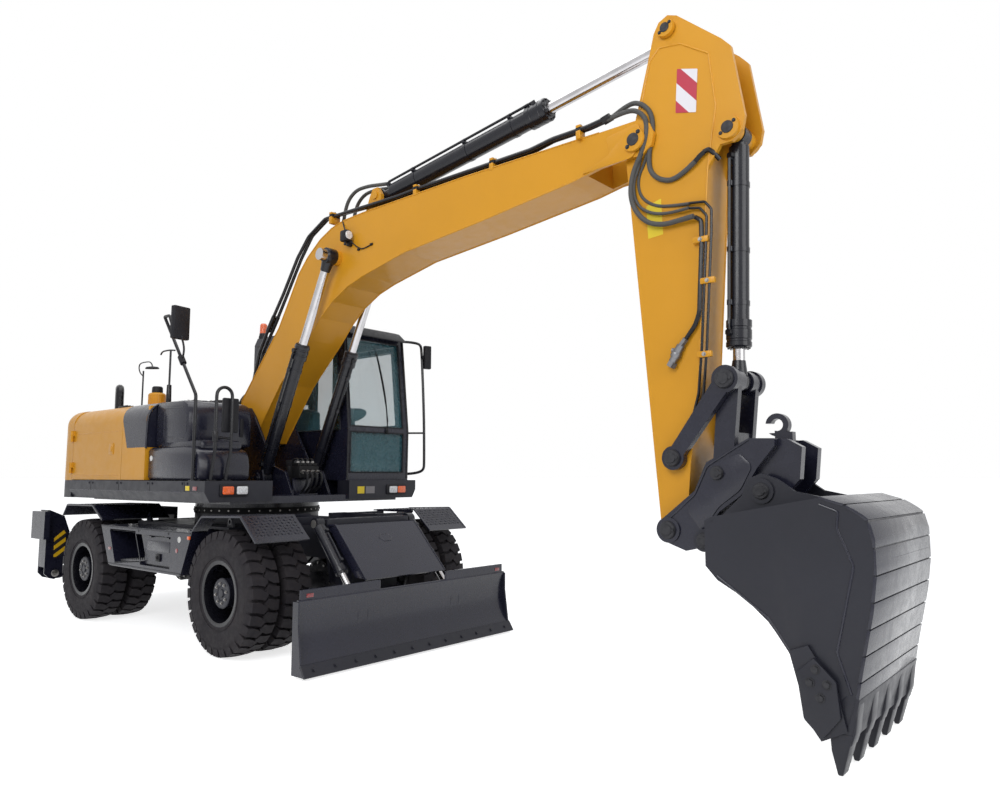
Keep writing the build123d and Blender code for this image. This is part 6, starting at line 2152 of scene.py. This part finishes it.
@dataclass
class Bucket(Trim):
    """The bucket's wear strips, lip, adapters, teeth and side cutters."""

    home: ClassVar[str] = "bucket"
    half: float = 0.595
    teeth: int = 5
    pitch: float = 0.273
    strips: int = 9
    strip_thickness: float = 0.008
    reach: float = 6.4098

    def wear_strips(self) -> None:
        """Overlapping plates that follow the wrapper from its crown to its lip."""
        path = [
            Vector(p) for p in ((6.142, 1.405), (6.284, 1.362), (6.377, 1.301), (6.402, 1.2), (6.41, 1.085),
            (6.378, 0.838), (6.31, 0.517), (6.28, 0.354))]
        legs = [(b - a).length for a, b in zip(path, path[1:])]

        def spot(share: float) -> Vector:
            """The place at a share of the path's length."""
            left = share * sum(legs)
            for start, end, leg in zip(path, path[1:], legs):
                if left <= leg:
                    return start.lerp(end, left / leg)
                left -= leg
            return path[-1].copy()

        shape = Shape()
        for index in range(self.strips):
            stations = [spot((index + share) / self.strips) for share in (0.02, 0.33, 0.66, 0.965)]
            tops = []
            for place, before, after in zip(stations, stations[:1] + stations, stations[1:] + stations[-1:]):
                way = (after - before).normalized()
                raised = place + Vector((-way.y, way.x)) * self.strip_thickness
                tops.append(Vector((min(raised.x, self.reach), raised.y)))
            inner = [place - Vector((0.01, 0.004)) for place in stations]
            shape.plate(
                [tuple(p) for p in tops + inner[::-1]], Face.SIDE, -self.half - 0.004, self.half + 0.004,
                0.0015)
        self.put("bucket_wear_strips", shape, Finish.CHARCOAL)

    def side_plates(self) -> None:
        """Weld lines, the side cutters and their bolts."""
        y = self.half
        welds = Shape()
        for line in (
                [(6.14, 1.37), (6.235, 1.335), (6.225, 1.25), (6.30, 1.06), (6.20, 0.62), (6.262, 0.42)],
                [(5.535, 1.262), (6.165, 0.62)], [(5.56, 0.955), (5.84, 0.76), (6.0, 0.53), (6.13, 0.36)]):
            welds.bead(line, -y, 0.007)
        self.put("bucket_welds", welds.mirrored(), Finish.CHARCOAL)
        cutter = Shape().plate(
            [(6.0, 0.5), (6.09, 0.585), (6.2, 0.48), (6.215, 0.3), (6.12, 0.185), (6.03, 0.27)], Face.SIDE,
            -y - 0.0225, -y - 0.04, 0.004, 0.012)
        self.put("bucket_side_cutters", cutter.mirrored(), Finish.CHARCOAL_SATIN)
        studs = Shape().bolts(
            [(x, -y - 0.039, z) for x, z in ((6.1, 0.53), (6.07, 0.46), (6.155, 0.46), (6.12, 0.39))],
            RIGHTWARD, 0.017, 0.015)
        self.put("bucket_cutter_bolts", studs.mirrored(), Finish.CAST)

    def lip(self) -> None:
        """The cutting edge with its adapters and teeth."""
        self.put(
            "bucket_cutting_edge", Shape().plate([(6.15, 0.2), (6.205, 0.17), (6.252, 0.2), (6.3, 0.4),
            (6.282, 0.405), (6.23, 0.24), (6.165, 0.31)], Face.SIDE, -self.half - 0.006, self.half + 0.006,
            0.002), Finish.CHARCOAL_SATIN)
        adapters, teeth = Shape(), Shape()
        for index in range(self.teeth):
            y = (index - (self.teeth - 1) / 2) * self.pitch
            adapters.plate(
                [(6.145, 0.32), (6.235, 0.415), (6.30, 0.43), (6.292, 0.36), (6.275, 0.235), (6.25, 0.165),
                (6.15, 0.165)], Face.SIDE, y - 0.052, y + 0.052, 0.008)
            adapters.rod((6.205, y - 0.058, 0.2), (6.205, y + 0.058, 0.2), 0.014, 20)
            known = set(teeth.bm.verts)
            teeth.plate(
                [(6.148, 0.225), (6.262, 0.225), (6.235, 0.13), (6.2, 0.012), (6.175, 0.012), (6.152, 0.13)],
                Face.SIDE, y - 0.058, y + 0.058, 0.006)
            for vert in set(teeth.bm.verts) - known:
                vert.co.y = y + (vert.co.y - y) * (0.72 + 0.28 * min(1.0, vert.co.z / 0.16))
        self.put("bucket_adapters", adapters, Finish.CHARCOAL_SATIN)
        self.put("bucket_teeth", teeth, Finish.CHARCOAL_SATIN)

    def build(self) -> None:
        """Dresses the bucket and adds everything on it."""
        self.dress(Finish.CHARCOAL_SATIN, "bucket")
        for part in (self.wear_strips, self.side_plates, self.lip):
            part()


# ---- cylinders and hoses ----------------------------------------------------------------------------
@dataclass
class Ram:
    """One hydraulic cylinder, or a pair, between a base eye and a rod eye."""

    name: str
    base: Flat
    eye: Flat
    sides: tuple[float, ...]
    barrel: float
    gland: float
    span: Flat
    rod: float
    rod_eye: Flat
    bodies: tuple[str, str]
    pipe_turns: tuple[float, ...]

    def spot(self, along: float, turn: float, radius: float, y: float) -> Vector:
        """A place round the barrel.

        Args:
            along: Distance from the base eye.
            turn: Degrees round the barrel, 0 on its right and 90 on its upper side.
            radius: Distance from the cylinder's axis.
            y: The cylinder's own Y.

        Returns:
            The place.
        """
        base = Vector((self.base[0], y, self.base[1]))
        way = (Vector((self.eye[0], y, self.eye[1])) - base).normalized()
        right = Vector(RIGHTWARD)
        upper = way.cross(right) if way.cross(right).z > 0.0 or abs(way.z) > 0.9 else -way.cross(right)
        angle = math.radians(turn)
        return base + way * along + (right * math.cos(angle) + upper * math.sin(angle)) * radius


@dataclass
class Cylinders(Trim):
    """The boom, arm and bucket cylinders."""

    rams: tuple[Ram, ...] = (
        Ram("boom", (0.55, 1.5), (1.548, 3.622), (-0.305, 0.305), 0.06, 0.07, (1.3, 1.43), 0.042,
        (0.0775, 0.051), ("boom_barrels", "boom_rods"), (0.0, 80.0)),
        Ram("arm", (1.96, 4.19), (5.104, 4.615), (0.0,), 0.082, 0.092, (1.84, 2.01), 0.045, (0.0815, 0.056),
        ("arm_barrel", "arm_rod"), (50.0,)),
        Ram("bucket", (5.529, 3.773), (5.473, 2.126), (0.0,), 0.066, 0.078, (1.26, 1.42), 0.038,
        (0.0635, 0.043), ("bucket_barrel", "bucket_rod"), (20.0,)))

    def barrel_trim(self, ram: Ram) -> None:
        """Gland ring, bands, ports and the pipe along each barrel."""
        rings, pipes, studs = Shape(), Shape(), Shape()
        start, end = ram.span
        for y, turn in zip(ram.sides, ram.pipe_turns):
            base = ram.spot(0.0, 0.0, 0.0, y)
            way = tuple(ram.spot(1.0, 0.0, 0.0, y) - base)
            lip, flat = ram.gland + 0.004, ram.gland - 0.003
            rings.lathe(
                [(start - 0.014, ram.barrel - 0.002), (start - 0.014, lip), (start + 0.03, lip),
                (start + 0.036, flat), (start + 0.044, flat), (start + 0.05, lip), (end - 0.05, lip),
                (end - 0.044, flat), (end - 0.036, flat), (end - 0.03, lip), (end - 0.004, lip),
                (end + 0.004, lip - 0.006), (end + 0.004, ram.rod + 0.016), (end + 0.014, ram.rod + 0.012),
                (end + 0.014, ram.rod + 0.002), (start, ram.rod + 0.002)], base, way, 48)
            for along in (0.27 * start, 0.62 * start, 0.9 * start):
                rings.lathe(
                    [(along - 0.016, ram.barrel - 0.002), (along - 0.016, ram.barrel + 0.004),
                    (along + 0.016, ram.barrel + 0.004), (along + 0.016, ram.barrel - 0.002)], base, way, 40)
                rings.rod(
                    ram.spot(along - 0.016, turn, ram.barrel + 0.018, y),
                    ram.spot(along + 0.016, turn, ram.barrel + 0.018, y), 0.019, 16)
            pipes.run(
                [ram.spot(0.17, turn, ram.barrel, y), ram.spot(0.17, turn, ram.barrel + 0.024, y),
                ram.spot(0.21, turn, ram.barrel + 0.024, y),
                ram.spot(start - 0.02, turn, ram.barrel + 0.024, y),
                ram.spot(start + 0.02, turn, ram.gland + 0.016, y),
                ram.spot(start + 0.06, turn, ram.gland + 0.012, y)], 0.0115)
            for along, reach in ((start + 0.07, ram.gland), (0.15, ram.barrel)):
                pipes.rod(
                    ram.spot(along, turn, reach - 0.01, y), ram.spot(along, turn, reach + 0.026, y), 0.024, 6)
            studs.bolts(
                [ram.spot(end + 0.004, 36.0 * step, ram.gland - 0.012, y) for step in range(10)], way, 0.0075,
                0.009, False)
        body = ram.bodies[0]
        self.put(f"{ram.name}_cylinder_glands", rings, Finish.RAM, body)
        self.put(f"{ram.name}_cylinder_pipes", pipes, Finish.BLACK, body)
        self.put(f"{ram.name}_cylinder_bolts", studs, Finish.CAST, body)

    def rod_trim(self, ram: Ram) -> None:
        """The painted eye and neck at the rod's end."""
        shape = Shape()
        radius, half = ram.rod_eye
        length = (Vector(ram.eye) - Vector(ram.base)).length
        for y in ram.sides:
            place = ram.spot(length, 0.0, 0.0, y)
            shape.rod(
                place - Vector((0.0, half, 0.0)), place + Vector((0.0, half, 0.0)), radius, 44,
                round_by=0.004)
            shape.rod(
                ram.spot(length - radius - 0.075, 0.0, 0.0, y), ram.spot(length - radius * 0.6, 0.0, 0.0, y),
                ram.rod + 0.004, 36, ram.rod + 0.018)
            shape.rod(
                ram.spot(length, 90.0, radius - 0.006, y), ram.spot(length, 90.0, radius + 0.012, y), 0.008,
                6)
        self.put(f"{ram.name}_rod_eyes", shape, Finish.RAM, ram.bodies[1])

    def build(self) -> None:
        """Dresses the cylinders and trims each in turn."""
        self.dress(Finish.RAM, "boom_cylinders", "arm_cylinder", "bucket_cylinder")
        self.dress(Finish.CHROME, "boom_rods", "arm_rod", "bucket_rod")
        for ram in self.rams:
            self.barrel_trim(ram)
            self.rod_trim(ram)


@dataclass
class Hoses(Trim):
    """Machine hoses that cross the boom's nose to the stick, and those at the boom's foot."""

    def build(self) -> None:
        """Makes each hose, and leaves those that cross a joint on no body."""
        thick, thin = 0.0175, 0.011
        crossing = (
            ("bucket_hose_upper", thick, -0.19, [(4.64, 4.09), (4.79, 4.17), (4.9, 4.14), (4.98, 4.04),
            (4.985, 3.9), (4.95, 3.76), (4.95, 3.63), (5.03, 3.54), (5.16, 3.51), (5.3, 3.60)]),
            ("bucket_hose_lower", thick, -0.215, [(4.64, 4.08), (4.79, 4.11), (4.9, 4.07), (4.96, 3.97),
            (4.93, 3.8), (4.82, 3.62), (4.81, 3.42), (4.92, 3.26), (5.06, 3.21), (5.2, 3.22), (5.29, 3.22)]),
            ("coupler_hose_upper", thin, -0.18, [(4.86, 3.98), (4.93, 3.88), (4.93, 3.73), (4.85, 3.6),
            (4.87, 3.46), (4.98, 3.37), (5.12, 3.34), (5.25, 3.325)]),
            ("coupler_hose_lower", thin, -0.2, [(4.84, 3.98), (4.91, 3.86), (4.88, 3.68), (4.82, 3.56),
            (4.85, 3.4), (4.97, 3.31), (5.13, 3.285), (5.25, 3.29)]))
        start, end = self.yard.station(4.72, -0.2, 4.1), self.yard.station(5.1, -0.2, 3.4)
        for name, radius, y, route in crossing:
            hose = Shape().pipe(
                [(x, y + (0.012 if 0 < i < len(route) - 1 else 0.0), z) for i, (x, z) in enumerate(route)],
                radius, resolution=10)
            piece = self.put(name, hose, Finish.HOSE, "")
            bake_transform(piece)
        for side, y in (("near", -0.155), ("far", 0.155)):
            feet = Shape()
            for shift in (-0.023, 0.023):
                feet.pipe(
                    [(0.14, y + shift, 2.62), (0.08, y + shift, 2.46), (0.14, y + shift, 2.3),
                    (0.02, y + shift, 2.42), (-0.12, y + shift, 2.35), (-0.25, y + shift, 2.15),
                    (-0.30, y + shift, 1.95)], thick)
            piece = self.put(f"foot_hoses_{side}", feet, Finish.HOSE, "")
            tuple(self.yard.station(-0.1, y, 2.1))
            tuple(self.yard.station(0.1, y, 2.55))
            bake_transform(piece)
        arch = Shape()
        for y in (-0.06, 0.06):
            arch.pipe(
                [(1.44, y, 4.02), (1.46, y, 4.2), (1.6, y, 4.33), (1.8, y, 4.33), (1.98, y, 4.30),
                (2.11, y, 4.28)], thick)
        self.put("arm_cylinder_hoses", arch, Finish.HOSE, "boom")


# ---- the studio -------------------------------------------------------------------------------------
class Surround(Nodes):
    """A node tree that looks white to the eye and in reflections, and lights the machine plainly."""

    def split(self, lit: Socket, white: Socket, into: Socket) -> None:
        """Sends camera, glossy and transmission rays to one shader, and the rest to another.

        Args:
            lit: The shader that lights the machine.
            white: The shader that is seen directly and in reflections.
            into: The output's socket.
        """
        path = self.node("LightPath")
        first = self.node("Math", operation="MAXIMUM")
        second = self.node("Math", operation="MAXIMUM")
        mix = self.node("MixShader")
        self.link(path.outputs["Is Camera Ray"], first.inputs[0])
        self.link(path.outputs["Is Glossy Ray"], first.inputs[1])
        self.link(first.outputs[0], second.inputs[0])
        self.link(path.outputs["Is Transmission Ray"], second.inputs[1])
        self.link(second.outputs[0], mix.inputs[0])
        self.link(lit, mix.inputs[1])
        self.link(white, mix.inputs[2])
        self.link(mix.outputs[0], into)


@dataclass
class Studio:
    """Floor, soft lights, white surround and camera."""

    camera_at: Point = (5.663, -4.844, 1.517)
    camera_turn: Point = (96.09, 0.0, 40.19)
    lens: float = 28.08
    surround: float = 0.34
    glow: float = 0.74
    floor_half: float = 400.0
    sensor: float = 36.0
    far: float = 2000.0

    def world(self) -> None:
        """An even grey light all round, seen as white."""
        world = bpy.data.worlds.new("studio")
        world.use_nodes = True
        bpy.context.scene.world = world
        graph = Surround(world.node_tree)
        grey = graph.node("Background")
        grey.inputs["Color"].default_value = (0.93, 0.96, 1.0, 1.0)
        grey.inputs["Strength"].default_value = self.surround
        white = graph.node("Background")
        white.inputs["Color"].default_value = (1.0, 1.0, 1.0, 1.0)
        output = next(n for n in world.node_tree.nodes if n.type == "OUTPUT_WORLD")
        graph.split(grey.outputs[0], white.outputs[0], output.inputs["Surface"])

    def floor(self) -> None:
        """A plain pale floor that goes white where it is lit and keeps the machine's shadow."""
        shape = bmesh.new()
        bmesh.ops.create_grid(shape, x_segments=1, y_segments=1, size=self.floor_half)
        mesh = bpy.data.meshes.new("floor")
        shape.to_mesh(mesh)
        shape.free()
        material = bpy.data.materials.new("pale_floor")
        material.use_nodes = True
        tree = material.node_tree
        graph = Surround(tree)
        shader = tree.nodes["Principled BSDF"]
        shader.inputs["Base Color"].default_value = (0.86, 0.87, 0.88, 1.0)
        shader.inputs["Roughness"].default_value = 0.75
        glow = graph.node("Emission")
        glow.inputs["Strength"].default_value = self.glow
        lit = graph.node("AddShader")
        graph.link(shader.outputs[0], lit.inputs[0])
        graph.link(glow.outputs[0], lit.inputs[1])
        output = next(n for n in tree.nodes if n.type == "OUTPUT_MATERIAL")
        graph.split(shader.outputs[0], lit.outputs[0], output.inputs["Surface"])
        mesh.materials.append(material)
        plane = bpy.data.objects.new("floor", mesh)
        bpy.context.scene.collection.objects.link(plane)

    def lights(self) -> None:
        """Three large soft boxes."""
        table = (
            ("key", (3.5, -8.0, 6.5), (-0.5, 0.0, 1.6), 5.0, 450.0),
            ("front", (10.0, -1.0, 5.0), (0.5, 0.0, 1.8), 5.0, 250.0),
            ("top", (-0.5, -0.5, 10.5), (-0.5, 0.0, 0.0), 8.0, 400.0))
        for name, place, target, size, power in table:
            data = bpy.data.lights.new(name, "AREA")
            data.size = size
            data.energy = power
            lamp = bpy.data.objects.new(name, data)
            lamp.location = place
            lamp.rotation_euler = (Vector(target) - Vector(place)).to_track_quat("-Z", "Y").to_euler()
            bpy.context.scene.collection.objects.link(lamp)

    def build(self) -> None:
        """Sets the view, the floor, the lights and the camera."""
        bpy.context.scene.view_settings.view_transform = "Standard"
        self.world()
        self.floor()
        self.lights()
        data = bpy.data.cameras.new("view")
        data.lens = self.lens
        data.sensor_width = self.sensor
        data.clip_end = self.far
        camera = bpy.data.objects.new("view", data)
        camera.location = self.camera_at
        camera.rotation_euler = [math.radians(angle) for angle in self.camera_turn]
        bpy.context.scene.collection.objects.link(camera)
        bpy.context.scene.camera = camera


def main() -> None:
    """Builds every sub-assembly in order from the slew ring's middle, and logs each one."""
    logging.basicConfig(level=logging.INFO, format="%(message)s")
    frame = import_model()
    low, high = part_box("slew_ring")
    yard = Yard(frame, Paintshop(), (low[0] + high[0]) / 2)
    for kind in (
            TwinWheels, Undercarriage, DozerBlade, Outriggers, UpperDeck, Hood, Tanks, Cab, Seat,
            MirrorsAndRails, Boom, Stick, Linkage, Bucket, Cylinders, Hoses):
        kind(yard).build()
        LOG.info("built %s", kind.__name__)
    Studio().build()


if __name__ == "__main__":
    main()
